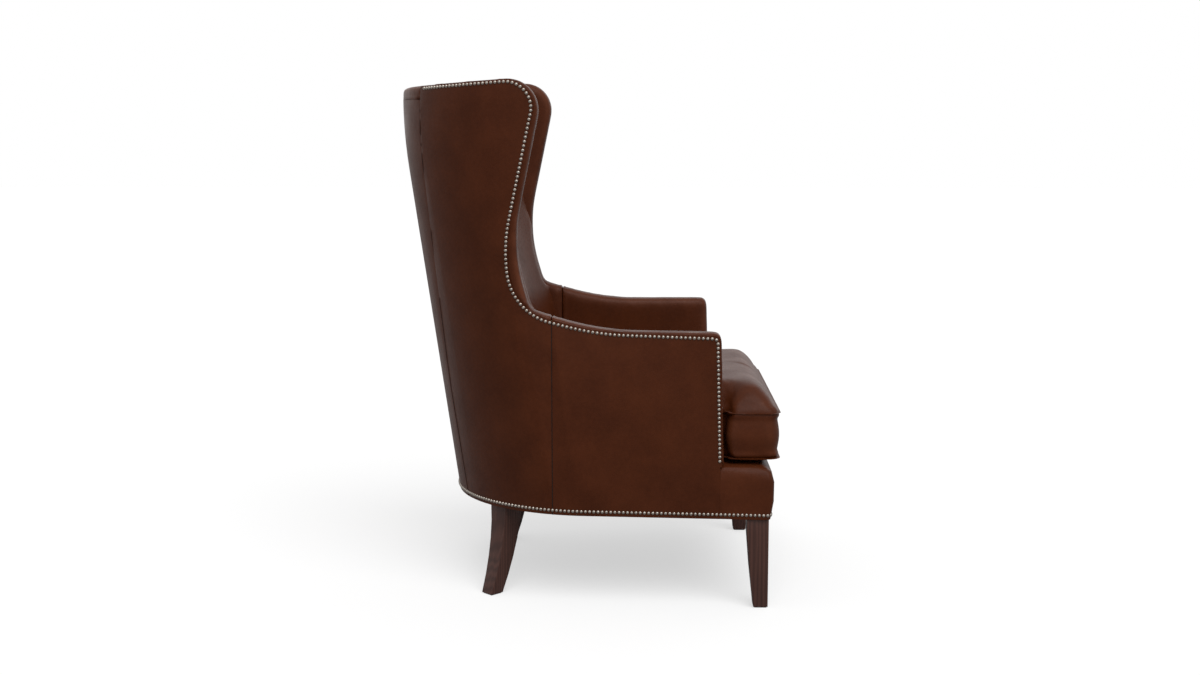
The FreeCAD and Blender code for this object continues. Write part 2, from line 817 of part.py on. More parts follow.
def dust_cover(held):
    """Thin cloth under the seat, cut out round the legs."""
    edge = leather + dust_cover_inset
    sheet = barrel(edge, None, True).common(block(-far, far, border_front + border_swell + edge, far,
                                      body_bottom, frame_floor))
    front_place, rear_place = bolt_places()
    cx, cy = front_leg_centre(front_leg_top)
    size = front_leg_top + 2.0
    hole = Part.Face(square_wire(cx, cy, size, 0)).extrude(V(0, 0, far))
    rear_hole = Part.Face(square_wire(rear_leg_side, rear_limit - rear_leg_from_rear,
                                      rear_leg_top + 4.0, 0, math.pi / 4)).extrude(V(0, 0, far))
    for cutter in (hole, rear_hole):
        sheet = sheet.cut(cutter).cut(mirrored(cutter))
    return solids_of(sheet)


def border_section(z, front_inset, side_inset):
    """Plan of the front border: a straight front, rounded corners and the barrel's splayed sides."""
    front = border_front + front_inset
    back = border_seam
    reach = side_x(front, z, side_inset)
    reach_back = side_x(back, z, side_inset)
    radius = border_corner_radius
    turn = radius * (1 - 1 / math.sqrt(2))
    right = (V(reach_back, back, z), V(reach, front + radius, z),
             V(reach - turn, front + turn, z), V(reach - radius, front, z))
    left = [V(-p.x, p.y, p.z) for p in reversed(right)]
    edges = (
        Part.makeLine(right[0], right[1]),
        Part.Arc(right[1], right[2], right[3]).toShape(),
        Part.makeLine(right[3], left[0]),
        Part.Arc(left[0], left[1], left[2]).toShape(),
        Part.makeLine(left[2], left[3]),
        Part.makeLine(left[3], right[0]),
    )
    return Part.Wire(edges)


def border_form(skin):
    """Front border, swelling in the middle of its height and rolled over at the top."""
    rise = border_top - body_bottom
    steps = ((0.0, border_swell, 0.0), (0.35, 1.0, 0.0), (0.72, 0.5, 0.0), (0.92, 6.5, 3.0),
             (1.0, border_roll, 12.0))
    sections = []
    for share, front_inset, side_inset in steps:
        z = body_bottom + share * rise - (skin if share > 0.9 else 0.0)
        sections.append(border_section(z, front_inset + skin, side_inset + skin))
    return Part.makeLoft(sections, True, True)


def build_border():
    outer = border_form(0.0)
    inner = border_form(leather)
    cover = outer.cut(inner)
    cover = cover.cut(block(-far, far, -far, far, -far, body_bottom))
    save("front_rail_cover", solids_of(cover))
    frame_space = barrel(frame_face, None, True).common(
        block(-far, far, frame_front, far, -far, rail_top + 2 * webbing_thickness))
    foam = inner.common(above(frame_floor)).cut(frame_space)
    save("front_border_pad", solids_of(foam))


# Seat cushion


def bend(first, middle, last, plain):
    """One rounded stretch of the cushion's outline, or two flat ones where leather hides it."""
    if plain:
        return [Part.makeLine(first, middle), Part.makeLine(middle, last)]
    return [Part.Arc(first, middle, last).toShape()]


def cushion_outline(z, inset, swell=0.0, plain=False):
    """T-shaped plan: wide ears in front of the arms, a splayed body and a curved rear edge."""
    front = front_limit + cushion_front_swell + inset - swell
    ear = cushion_ear_half_width - inset + swell
    notch = arm_front - cushion_ear_gap - inset + swell
    gap = wall_thickness + cushion_side_gap
    level = cushion_welt_low - welt_radius
    body_front = side_x(notch, level, gap) - inset
    rear_mid = inner_back_y(level) - cushion_back_gap - inset
    radius = inner_back_radius
    side_slope = side_x(1.0, level, gap) - side_x(0, level, gap)
    centre_y = rear_mid - radius
    x = side_x(0, level, gap) - inset
    for _ in range(4):
        y_rear = centre_y + math.sqrt(radius ** 2 - x ** 2)
        x = side_x(0, level, gap) - inset + side_slope * y_rear
    quarter = (x / 2, centre_y + math.sqrt(radius ** 2 - x ** 2 / 4))
    c = min(cushion_corner_radius, 0.4 * (notch - front))
    n = min(cushion_notch_size, 0.45 * (ear - body_front))
    t = 1 - 1 / math.sqrt(2)
    side = (
        V(ear, front + c, z), V(ear, notch - n, z), V(ear - n, notch, z),
        V(body_front + n, notch, z), V(body_front, notch + n, z), V(x, y_rear, z),
    )
    corner = (V(ear - c, front, z), V(ear - c * t, front + c * t, z))
    other = [V(-p.x, p.y, p.z) for p in side]
    other_corner = [V(-p.x, p.y, p.z) for p in corner]
    middle = V(0, rear_mid, z)
    edges = bend(corner[0], corner[1], side[0], plain)
    edges += [Part.makeLine(side[i], side[i + 1]) for i in range(5)]
    if plain:
        edges += bend(side[5], V(quarter[0], quarter[1], z), middle, True)
        edges += bend(middle, V(-quarter[0], quarter[1], z), other[5], True)
    else:
        edges += bend(side[5], middle, other[5], False)
    edges += [Part.makeLine(other[i], other[i - 1]) for i in range(5, 0, -1)]
    edges += bend(other[0], other_corner[1], other_corner[0], plain)
    edges.append(Part.makeLine(other_corner[0], corner[0]))
    return Part.Wire(edges)


def cushion_band(skin, plain):
    """The boxed side of the cushion, which swells between its two welts."""
    middle = (cushion_welt_low + cushion_welt_high) / 2
    sections = [
        cushion_outline(cushion_welt_low, skin, 0.0, plain),
        cushion_outline(middle, skin, cushion_front_swell, plain),
        cushion_outline(cushion_welt_high, skin, 0.0, plain),
    ]
    return Part.makeLoft(sections, True, True)


def cushion_dome(skin, start, rise, steps, plain):
    """Crown above or below a welt, drawn in step by step from the outline."""
    sections = []
    for inset, share in steps:
        z = start + rise * share - (math.copysign(skin, rise) if share > 0 else 0.0)
        sections.append(cushion_outline(z, inset + skin, 0.0, plain))
    return Part.makeLoft(sections, True, True)


def build_cushion():
    band = cushion_band(0.0, False)
    band_core = cushion_band(leather, True)
    crown = cushion_crown_top - cushion_welt_high
    belly = deck_top + soft_gap - cushion_welt_low
    top = cushion_dome(0.0, cushion_welt_high, crown, cushion_crown_steps, False)
    top_core = cushion_dome(leather, cushion_welt_high, crown, cushion_crown_steps, True)
    low = cushion_dome(0.0, cushion_welt_low, belly, cushion_belly_steps, False)
    low_core = cushion_dome(leather, cushion_welt_low, belly, cushion_belly_steps, True)
    core = band_core.fuse([top_core, low_core])
    top_welt = welt(cushion_welt_high)
    low_welt = welt(cushion_welt_low)
    middle = (cushion_welt_low + cushion_welt_high) / 2
    slot = block(-zipper_length / 2, zipper_length / 2, 0, far,
                 middle - zipper_height / 2, middle + zipper_height / 2)
    boxing = band.cut(band_core)
    save("cushion_zipper", solids_of(boxing.common(slot)))
    save("cushion_boxing", solids_of(boxing.cut(slot).cut(top_welt).cut(low_welt)))
    save("cushion_top_panel", solids_of(top.cut(top_core).cut(top_welt)))
    save("cushion_bottom_panel", solids_of(low.cut(low_core).cut(low_welt)))
    save("cushion_core", solids_of(core.cut(welt_bed(cushion_welt_high)).cut(welt_bed(cushion_welt_low))))
    save("cushion_welts", merged([top_welt, low_welt]))


def welt_bed(z):
    """Room in the filling for a welt: a shallow flat-sided band round the core."""
    wide = Part.makeLoft([cushion_outline(z - welt_radius, -welt_radius, 0.0, True),
                          cushion_outline(z + welt_radius, -welt_radius, 0.0, True)], True, True)
    narrow = Part.makeLoft([cushion_outline(z - 2 * welt_radius, welt_radius, 0.0, True),
                            cushion_outline(z + 2 * welt_radius, welt_radius, 0.0, True)], True, True)
    return wide.cut(narrow)


def welt(z):
    """A leather-covered cord all round the cushion, standing proud of the seam."""
    low = z - welt_radius
    high = z + welt_radius
    outer = Part.makeLoft([cushion_outline(low, 0.0), cushion_outline(z, -welt_radius),
                           cushion_outline(high, 0.0)], True, True)
    inner = Part.makeLoft([cushion_outline(low, welt_radius, 0.0, True),
                           cushion_outline(high, welt_radius, 0.0, True)], True, True)
    return outer.cut(inner)


# Decorative nails


def nail_head(point, normal, along):
    """A low pointed head on the leather, with few faces because there are hundreds of them."""
    across = normal.cross(along)
    across.normalize()
    forward = across.cross(normal)
    ring = []
    for i in range(nail_sides):
        angle = 2 * math.pi * i / nail_sides
        spot = forward * (nail_radius * math.cos(angle)) + across * (nail_radius * math.sin(angle))
        ring.append(point + normal * nail_lift + spot)
    tip = point + normal * nail_height
    faces = [Part.Face(Part.makePolygon(ring + [ring[0]]))]
    for i in range(nail_sides):
        j = (i + 1) % nail_sides
        faces.append(Part.Face(Part.makePolygon([ring[i], ring[j], tip, ring[i]])))
    head = Part.Solid(Part.Shell(faces))
    if head.Volume < 0:
        head.reverse()
    return head


def nails_along(wire, skin_faces, pitch, keep):
    """Heads at an even pitch on a line that lies on some faces of the leather."""
    count = round(wire.Length / pitch)
    points = wire.discretize(Number=count + 1)
    heads = []
    for i in range(count):
        if not keep(points[i]):
            continue
        spot = Part.Vertex(points[i])
        face = min(skin_faces, key=lambda f: f.distToShape(spot)[0])
        normal = face.normalAt(*face.Surface.parameter(points[i]))
        heads.append(nail_head(points[i], normal, points[i + 1] - points[i]))
    return heads


def face_middle(face):
    u0, u1, v0, v1 = face.ParameterRange
    return face.valueAt((u0 + u1) / 2, (v0 + v1) / 2)


def build_nails():
    """One row up each arm and round its wing to the back seam, and one row round the base."""
    rim = barrel(0.0, frame_back).common(side_prism(nailed_outline(), nail_inset))
    middle = barrel(frame_back / 2, None, True)
    edge = Part.Wire(Part.__sortEdges__(nose_edges(rim, middle, False)))
    skin = [f for f in rim.Faces if not is_outline_face(f) and not middle.isInside(face_middle(f), 0.01, True)]
    low = border_top + nail_radius
    end = back_seam_top + nail_radius
    left = nails_along(edge, skin, edge_nail_pitch, lambda p: p.z > low and p.x > end)
    body = barrel(0.0).common(behind(border_seam)).fuse(border_form(0.0))
    base = body.slice(V(0, 0, 1), base_nail_height)
    base.sort(key=lambda w: w.Length)
    sides = [f for f in body.Faces if f.BoundBox.ZMin < base_nail_height < f.BoundBox.ZMax]
    bottom = nails_along(base[-1], sides, base_nail_pitch, lambda p: True)
    save("nail_trim", merged(left + [mirrored(h) for h in left] + bottom))


os.makedirs("parts", exist_ok=True)
build_wall()
build_back()
build_outside()
shell_frame = frame_ring()
build_base_frame(shell_frame)
build_side_frame(shell_frame)
build_inner_back_frame()
build_blocks_and_bolts()
build_legs()
build_deck()
build_border()
build_cushion()
build_nails()
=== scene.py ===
import json
import math

import bmesh
import bpy
from mathutils import Matrix, Vector
from mathutils.bvhtree import BVHTree


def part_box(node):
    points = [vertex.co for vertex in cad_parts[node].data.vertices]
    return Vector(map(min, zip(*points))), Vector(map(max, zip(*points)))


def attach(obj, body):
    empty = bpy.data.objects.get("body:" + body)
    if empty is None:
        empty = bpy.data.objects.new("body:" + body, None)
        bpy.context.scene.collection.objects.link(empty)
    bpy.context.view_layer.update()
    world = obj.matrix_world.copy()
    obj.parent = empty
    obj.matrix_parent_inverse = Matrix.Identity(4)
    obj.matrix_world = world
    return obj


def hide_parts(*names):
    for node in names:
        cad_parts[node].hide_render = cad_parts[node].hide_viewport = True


bl_info = {
    "name": "Wing Chair Upholstery",
    "version": (1, 0, 0),
    "blender": (4, 5, 0),
    "location": "3D View > Sidebar > Wing Chair",
    "description": "Dresses the chair's frame with leather, padding, nail heads and wood finishes",
    "category": "Object",
}

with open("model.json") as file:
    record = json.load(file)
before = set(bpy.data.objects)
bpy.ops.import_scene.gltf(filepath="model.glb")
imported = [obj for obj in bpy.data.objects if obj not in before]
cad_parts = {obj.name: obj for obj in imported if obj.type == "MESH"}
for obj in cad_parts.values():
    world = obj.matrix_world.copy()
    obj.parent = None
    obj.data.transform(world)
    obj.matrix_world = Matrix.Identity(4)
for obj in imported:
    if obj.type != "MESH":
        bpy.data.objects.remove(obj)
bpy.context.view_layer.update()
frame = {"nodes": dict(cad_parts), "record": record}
nodes = frame["nodes"]

SIDES = ("left", "right")

# Making sizes, in metres

MERGE_DISTANCE = 0.00001
SEARCH_REACH = 1.5
FULL_PULL = 0.004
FOAM_VOXEL = 0.009
FOAM_SHRINK = 0.003
FOAM_PASSES = 4
BACKING_FLOOR = 0.34
COVER_EDGE = 0.0006
SEAM_RADIUS = 0.0009
SEAM_STEP = 0.012
SEAM_TOP = 1.14
SEAM_CONTACT = 0.00015
BARREL_AXIS_Y = 0.03
FLAT_FOAM_VOXEL = 0.008
FLAT_FOAM_SHRINK = 0.002
FLAT_FOAM_PASSES = 3
CORE_VOXEL = 0.012
CORE_SHRINK = 0.012
WELT_SWELL = 0.0004
BOTTOM_MARGIN = 0.004
BOTTOM_SHARE = 0.25
SIDE_START = 0.16
SIDE_SHARE = 0.3
BOXING_REACH = 0.15
BOXING_FADE = 0.03

# Where a cover starts to come loose from its seam, and where it is wholly loose

ROLL_EDGES = (0.002, 0.014)
BACK_EDGES = (0.001, 0.010)
CUSHION_EDGES = (0.003, 0.022)
CROWN_EDGES = (0.0, 0.055)
SEWN_EDGES = (0.0, 0.009)

# Light and floor

FLOOR_HALF_WIDTH = 20
FLOOR_TONE = (0.44, 0.44, 0.44, 1.0)
FLOOR_GLOW = 0.56
ROOM_LIGHT = 0.55
ROOM_SEEN = 0.45
KEY_FROM = (-0.7, -0.25, 1.0)
KEY_STRENGTH = 2.1
KEY_SPREAD = 0.9
WHITE = (1.0, 1.0, 1.0, 1.0)

# The frame members behind the leather of each rolled edge

BACKING = {"arm": ["arm_rail", "arm_front_post"], "wing": ["wing_post", "wing_top_rail"]}

# Angles across which an edge still shades smooth

SOFT_ANGLE = math.radians(60)
COVER_ANGLE = math.radians(50)
CUSHION_ANGLE = math.radians(70)
CLOTH_ANGLE = math.radians(30)
WOOD_ANGLE = math.radians(35)
LEG_EDGE_ANGLE = math.radians(40)
TUBE_ANGLE = math.radians(80)

# Settings


class LeatherSettings(bpy.types.PropertyGroup):
    dark: bpy.props.FloatVectorProperty(
        name="Dark Tone",
        description="Colour in the hollows of the leather's mottling",
        default=(0.049, 0.0112, 0.0032),
        size=3,
        min=0,
        max=1,
        subtype="COLOR",
    )
    light: bpy.props.FloatVectorProperty(
        name="Light Tone",
        description="Colour on the high patches of the leather's mottling",
        default=(0.069, 0.0167, 0.0052),
        size=3,
        min=0,
        max=1,
        subtype="COLOR",
    )
    # Partly real burnish and partly painted highlight: this lighter tone is painted on the rounded edges
    # where the leather is pulled in.
    burnish_and_highlight: bpy.props.FloatVectorProperty(
        name="Burnish and Highlight Tone",
        description="Colour where the leather is pulled over an edge",
        default=(0.115, 0.036, 0.017),
        size=3,
        min=0,
        max=1,
        subtype="COLOR",
    )
    roll_passes: bpy.props.IntProperty(
        name="Roll Softness",
        description="Smoothing passes that round the padded rolls",
        default=16,
        min=0,
        max=60,
    )
    voxel: bpy.props.FloatProperty(
        name="Form Detail",
        description="Edge length of the soft forms' faces",
        default=0.005,
        min=0.003,
        max=0.02,
        unit="LENGTH",
    )


class CushionSettings(bpy.types.PropertyGroup):
    pressure: bpy.props.FloatProperty(
        name="Filling Pressure",
        description="How hard the filling pushes the cover out",
        default=4.0,
        min=0,
        max=20,
    )
    swell_limit: bpy.props.FloatProperty(
        name="Swell Limit",
        description="Furthest that the cover may move from its cut form",
        default=0.008,
        min=0,
        max=0.03,
        unit="LENGTH",
    )
    crown_passes: bpy.props.IntProperty(
        name="Crown Softness",
        description="Smoothing passes over the crown before it is filled",
        default=5,
        min=0,
        max=80,
    )
    boxing_swell: bpy.props.FloatProperty(
        name="Front Swell",
        description="How far the front band stands out between its welts",
        default=0.0045,
        min=0,
        max=0.015,
        unit="LENGTH",
    )
    seam_dip: bpy.props.FloatProperty(
        name="Seam Dip",
        description="How far the cover dips beside the welts",
        default=0.0014,
        min=0,
        max=0.008,
        unit="LENGTH",
    )
    voxel: bpy.props.FloatProperty(
        name="Form Detail",
        description="Edge length of the cushion's faces before the last subdivision",
        default=0.008,
        min=0.004,
        max=0.02,
        unit="LENGTH",
    )


class NailSettings(bpy.types.PropertyGroup):
    radius: bpy.props.FloatProperty(
        name="Head Radius",
        description="Radius of a decorative nail head",
        default=0.0041,
        min=0.002,
        max=0.01,
        unit="LENGTH",
    )
    height: bpy.props.FloatProperty(
        name="Head Height",
        description="Height of a decorative nail head above the leather",
        default=0.003,
        min=0.001,
        max=0.008,
        unit="LENGTH",
    )
    colour: bpy.props.FloatVectorProperty(
        name="Metal Tone",
        description="Colour of the plated nail heads",
        default=(0.36, 0.32, 0.28),
        size=3,
        min=0,
        max=1,
        subtype="COLOR",
    )


class WoodSettings(bpy.types.PropertyGroup):
    stain_dark: bpy.props.FloatVectorProperty(
        name="Leg Stain Dark",
        description="Dark lines of the stained legs",
        default=(0.040, 0.0170, 0.0130),
        size=3,
        min=0,
        max=1,
        subtype="COLOR",
    )
    stain_light: bpy.props.FloatVectorProperty(
        name="Leg Stain Light",
        description="Light lines of the stained legs",
        default=(0.072, 0.0305, 0.0230),
        size=3,
        min=0,
        max=1,
        subtype="COLOR",
    )
    edge_round: bpy.props.FloatProperty(
        name="Leg Edge Rounding",
        description="Rounding of the legs' corners",
        default=0.0022,
        min=0,
        max=0.006,
        unit="LENGTH",
    )


class StageSettings(bpy.types.PropertyGroup):
    lens: bpy.props.FloatProperty(
        name="Lens", description="Focal length on a 36 mm sensor", default=47.69, min=10, max=200
    )
    eye: bpy.props.FloatVectorProperty(
        name="Eye Point",
        description="Where the camera stands",
        default=(-3.8583, -0.0891, 1.1148),
        size=3,
        unit="LENGTH",
        subtype="XYZ",
    )
    turn: bpy.props.FloatProperty(
        name="Turn",
        description="Camera's turn from straight across",
        default=0.0163,
        unit="ROTATION",
        subtype="ANGLE",
    )
    tilt: bpy.props.FloatProperty(
        name="Tilt",
        description="Camera's tilt below level",
        default=0.1402,
        unit="ROTATION",
        subtype="ANGLE",
    )


# Node groups


def new_group(name, inputs, outputs):
    """A shader node group with named sockets, and its two end nodes."""
    tree = bpy.data.node_groups.new(name, "ShaderNodeTree")
    for label, kind, value in inputs:
        socket = tree.interface.new_socket(name=label, in_out="INPUT", socket_type=kind)
        if value is not None:
            socket.default_value = value
    for label, kind in outputs:
        tree.interface.new_socket(name=label, in_out="OUTPUT", socket_type=kind)
    return tree, tree.nodes.new("NodeGroupInput"), tree.nodes.new("NodeGroupOutput")


def add_node(tree, kind, settings=None, values=None, links=None):
    """A node with its settings, its socket values and the sockets that feed it."""
    node = tree.nodes.new(kind)
    for key, value in (settings or {}).items():
        setattr(node, key, value)
    for key, value in (values or {}).items():
        node.inputs[key].default_value = value
    for key, source in (links or {}).items():
        tree.links.new(source, node.inputs[key])
    return node


def maths(tree, operation, first, second):
    """One Math node, whose two sides are sockets or numbers."""
    node = tree.nodes.new("ShaderNodeMath")
    node.operation = operation
    for place, side in ((0, first), (1, second)):
        if isinstance(side, bpy.types.NodeSocket):
            tree.links.new(side, node.inputs[place])
        else:
            node.inputs[place].default_value = side
    return node.outputs[0]


def mix_colour(tree, factor, first, second):
    """One colour Mix node, whose sides are sockets or colours."""
    node = tree.nodes.new("ShaderNodeMix")
    node.data_type = "RGBA"
    for place, side in ((0, factor), (6, first), (7, second)):
        if isinstance(side, bpy.types.NodeSocket):
            tree.links.new(side, node.inputs[place])
        else:
            node.inputs[place].default_value = side
    return node.outputs[2]


def weighted_sum(tree, first, first_share, second, second_share):
    """Two values added, each by its share."""
    parts = maths(tree, "MULTIPLY", first, first_share), maths(tree, "MULTIPLY", second, second_share)
    return maths(tree, "ADD", *parts)


def spread_out(tree, value, low, high):
    """A value stretched so that low becomes 0 and high becomes 1."""
    limits = {"From Min": low, "From Max": high}
    return add_node(tree, "ShaderNodeMapRange", None, limits, {"Value": value}).outputs["Result"]


def hide_grain_group():
    """Pebbled grain with fine creases between the pebbles."""
    tree, start, end = new_group(
        "hide_grain",
        [
            ("Vector", "NodeSocketVector", None),
            ("Pebbles", "NodeSocketFloat", 620.0),
            ("Creases", "NodeSocketFloat", 70.0),
        ],
        [("Height", "NodeSocketFloat"), ("Pores", "NodeSocketFloat")],
    )
    vector = start.outputs["Vector"]
    pebbles = add_node(
        tree,
        "ShaderNodeTexVoronoi",
        {"feature": "SMOOTH_F1"},
        {"Smoothness": 0.6, "Randomness": 1.0},
        {"Vector": vector, "Scale": start.outputs["Pebbles"]},
    )
    folds = add_node(
        tree,
        "ShaderNodeTexNoise",
        None,
        {"Detail": 5.0, "Roughness": 0.62, "Distortion": 0.8},
        {"Vector": vector, "Scale": start.outputs["Creases"]},
    )
    pores = maths(tree, "SUBTRACT", 1.0, pebbles.outputs["Distance"])
    height = weighted_sum(tree, pores, 0.35, folds.outputs["Fac"], 0.9)
    tree.links.new(height, end.inputs["Height"])
    tree.links.new(pores, end.inputs["Pores"])
    return tree


def mottle_group():
    """Two tones in soft patches, with a finer mottle over them."""
    tree, start, end = new_group(
        "soft_mottle",
        [
            ("Vector", "NodeSocketVector", None),
            ("Dark", "NodeSocketColor", None),
            ("Light", "NodeSocketColor", None),
            ("Patches", "NodeSocketFloat", 9.0),
        ],
        [("Color", "NodeSocketColor"), ("Mask", "NodeSocketFloat")],
    )
    vector = start.outputs["Vector"]
    wide = add_node(
        tree,
        "ShaderNodeTexNoise",
        None,
        {"Detail": 3.0, "Roughness": 0.5},
        {"Vector": vector, "Scale": start.outputs["Patches"]},
    )
    fine = add_node(
        tree,
        "ShaderNodeTexNoise",
        None,
        {"Detail": 4.0, "Roughness": 0.65},
        {"Vector": vector, "Scale": maths(tree, "MULTIPLY", start.outputs["Patches"], 9.0)},
    )
    both = weighted_sum(tree, wide.outputs["Fac"], 0.65, fine.outputs["Fac"], 0.35)
    mask = spread_out(tree, both, 0.36, 0.64)
    tone = mix_colour(tree, mask, start.outputs["Dark"], start.outputs["Light"])
    tree.links.new(tone, end.inputs["Color"])
    tree.links.new(mask, end.inputs["Mask"])
    return tree


def plank_grain_group():
    """Long wood fibres along Z, in two tones."""
    tree, start, end = new_group(
        "plank_grain",
        [
            ("Vector", "NodeSocketVector", None),
            ("Dark", "NodeSocketColor", None),
            ("Light", "NodeSocketColor", None),
            ("Fibres", "NodeSocketFloat", 90.0),
        ],
        [("Color", "NodeSocketColor"), ("Height", "NodeSocketFloat")],
    )
    stretched = add_node(
        tree, "ShaderNodeMapping", None, {"Scale": (1.0, 1.0, 0.06)}, {"Vector": start.outputs["Vector"]}
    ).outputs["Vector"]
    fibres = add_node(
        tree,
        "ShaderNodeTexNoise",
        None,
        {"Detail": 6.0, "Roughness": 0.7, "Distortion": 0.6},
        {"Vector": stretched, "Scale": start.outputs["Fibres"]},
    )
    rings = add_node(
        tree,
        "ShaderNodeTexWave",
        {"wave_type": "RINGS", "rings_direction": "Z"},
        {"Distortion": 5.0, "Detail": 3.0, "Detail Scale": 1.4},
        {"Vector": stretched, "Scale": maths(tree, "MULTIPLY", start.outputs["Fibres"], 0.4)},
    )
    both = weighted_sum(tree, fibres.outputs["Fac"], 0.7, rings.outputs["Fac"], 0.3)
    mask = spread_out(tree, both, 0.3, 0.72)
    tone = mix_colour(tree, mask, start.outputs["Dark"], start.outputs["Light"])
    tree.links.new(tone, end.inputs["Color"])
    tree.links.new(mask, end.inputs["Height"])
    return tree


def weave_group():
    """Threads that cross over and under, as a height and a mask."""
    tree, start, end = new_group(
        "plain_weave",
        [("Vector", "NodeSocketVector", None), ("Threads", "NodeSocketFloat", 300.0)],
        [("Height", "NodeSocketFloat"), ("Mask", "NodeSocketFloat")],
    )
    waves = []
    for direction in ("X", "Y", "Z"):
        wave = add_node(
            tree,
            "ShaderNodeTexWave",
            {"wave_type": "BANDS", "bands_direction": direction},
            {"Distortion": 0.4, "Detail": 1.0},
            {"Vector": start.outputs["Vector"], "Scale": start.outputs["Threads"]},
        )
        waves.append(wave.outputs["Fac"])
    crossed = maths(tree, "MULTIPLY", maths(tree, "ADD", waves[0], waves[2]), waves[1])
    tree.links.new(crossed, end.inputs["Height"])
    tree.links.new(maths(tree, "MINIMUM", crossed, 1.0), end.inputs["Mask"])
    return tree


GROUPS = {}


def group(name):
    """The shared node group of that name, built the first time it is asked for."""
    makers = {
        "hide_grain": hide_grain_group,
        "soft_mottle": mottle_group,
        "plank_grain": plank_grain_group,
        "plain_weave": weave_group,
    }
    if name not in GROUPS:
        GROUPS[name] = makers[name]()
    return GROUPS[name]


def place_group(tree, name, values=None, links=None):
    """A shared group as a node in a material."""
    node = tree.nodes.new("ShaderNodeGroup")
    node.node_tree = group(name)
    for key, value in (values or {}).items():
        node.inputs[key].default_value = value
    for key, source in (links or {}).items():
        tree.links.new(source, node.inputs[key])
    return node


# Materials


def rgba(colour):
    return (colour[0], colour[1], colour[2], 1.0)


def blank_material(name, surface):
    """A material with its shader's plain values set, and the object's coordinates."""
    material = bpy.data.materials.new(name)
    material.use_nodes = True
    tree = material.node_tree
    shader = tree.nodes["Principled BSDF"]
    for key, value in surface.items():
        shader.inputs[key].default_value = value
    coords = tree.nodes.new("ShaderNodeTexCoord").outputs["Object"]
    return material, tree, shader, coords


def bump(tree, shader, height, strength, distance):
    values = {"Strength": strength, "Distance": distance}
    node = add_node(tree, "ShaderNodeBump", None, values, {"Height": height})
    tree.links.new(node.outputs["Normal"], shader.inputs["Normal"])


def leather_material(name, dark, light, burnish_and_highlight, gloss):
    """Mottled pebbled leather that lightens where it is pulled over an edge, partly as real burnish and
    partly as a painted highlight.
    """
    material, tree, shader, coords = blank_material(
        name, {"Specular IOR Level": 0.09}
    )
    values = {"Dark": rgba(dark), "Light": rgba(light), "Patches": 13.0}
    tone = place_group(tree, "soft_mottle", values, {"Vector": coords})
    # Painted highlight and burnish: the pull over each rounded edge mixes in the lighter tone.
    burnish_and_highlight_mask = add_node(tree, "ShaderNodeAttribute", {"attribute_name": "pulled"}).outputs["Fac"]
    patchy = maths(tree, "ADD", maths(tree, "MULTIPLY", tone.outputs["Mask"], 0.6), 0.4)
    patchy_burnish_and_highlight = maths(tree, "MULTIPLY", burnish_and_highlight_mask, patchy)
    colour = mix_colour(tree, patchy_burnish_and_highlight, tone.outputs["Color"], rgba(burnish_and_highlight))
    tree.links.new(colour, shader.inputs["Base Color"])
    grain = place_group(tree, "hide_grain", {"Pebbles": 620.0, "Creases": 70.0}, {"Vector": coords})
    rough = maths(tree, "ADD", gloss, maths(tree, "MULTIPLY", grain.outputs["Pores"], 0.10))
    rough = maths(tree, "SUBTRACT", rough, maths(tree, "MULTIPLY", tone.outputs["Mask"], 0.08))
    tree.links.new(rough, shader.inputs["Roughness"])
    bump(tree, shader, grain.outputs["Height"], 0.35, 0.0012)
    return material


def wood_material(name, dark, light, fibres, surface, turn=(0.0, 0.0, 0.0)):
    """Wood whose fibres run along Z, turned for pieces that lie another way."""
    material, tree, shader, coords = blank_material(name, surface)
    turned = add_node(tree, "ShaderNodeMapping", None, {"Rotation": turn}, {"Vector": coords})
    values = {"Dark": rgba(dark), "Light": rgba(light), "Fibres": fibres}
    grain = place_group(tree, "plank_grain", values, {"Vector": turned.outputs["Vector"]})
    tree.links.new(grain.outputs["Color"], shader.inputs["Base Color"])
    bump(tree, shader, grain.outputs["Height"], 0.25, 0.0005)
    return material


def mottled_material(name, dark, light, patches, surface, depth=0.0):
    """Foam, wadding, fibreboard, nylon or metal: two tones in patches of a set size."""
    material, tree, shader, coords = blank_material(name, surface)
    values = {"Dark": rgba(dark), "Light": rgba(light), "Patches": patches}
    tone = place_group(tree, "soft_mottle", values, {"Vector": coords})
    tree.links.new(tone.outputs["Color"], shader.inputs["Base Color"])
    rough = maths(tree, "MULTIPLY_ADD", tone.outputs["Mask"], 0.12)
    rough.node.inputs[2].default_value = surface["Roughness"] - 0.06
    tree.links.new(rough, shader.inputs["Roughness"])
    if depth:
        bump(tree, shader, tone.outputs["Mask"], 0.5, depth)
    return material


def woven_material(name, dark, light, threads, surface):
    """Cloth, tape or webbing with crossing threads."""
    material, tree, shader, coords = blank_material(name, surface)
    weave = place_group(tree, "plain_weave", {"Threads": threads}, {"Vector": coords})
    colour = mix_colour(tree, weave.outputs["Mask"], rgba(dark), rgba(light))
    tree.links.new(colour, shader.inputs["Base Color"])
    bump(tree, shader, weave.outputs["Height"], 0.5, 0.0005)
    return material


MATERIALS = {}


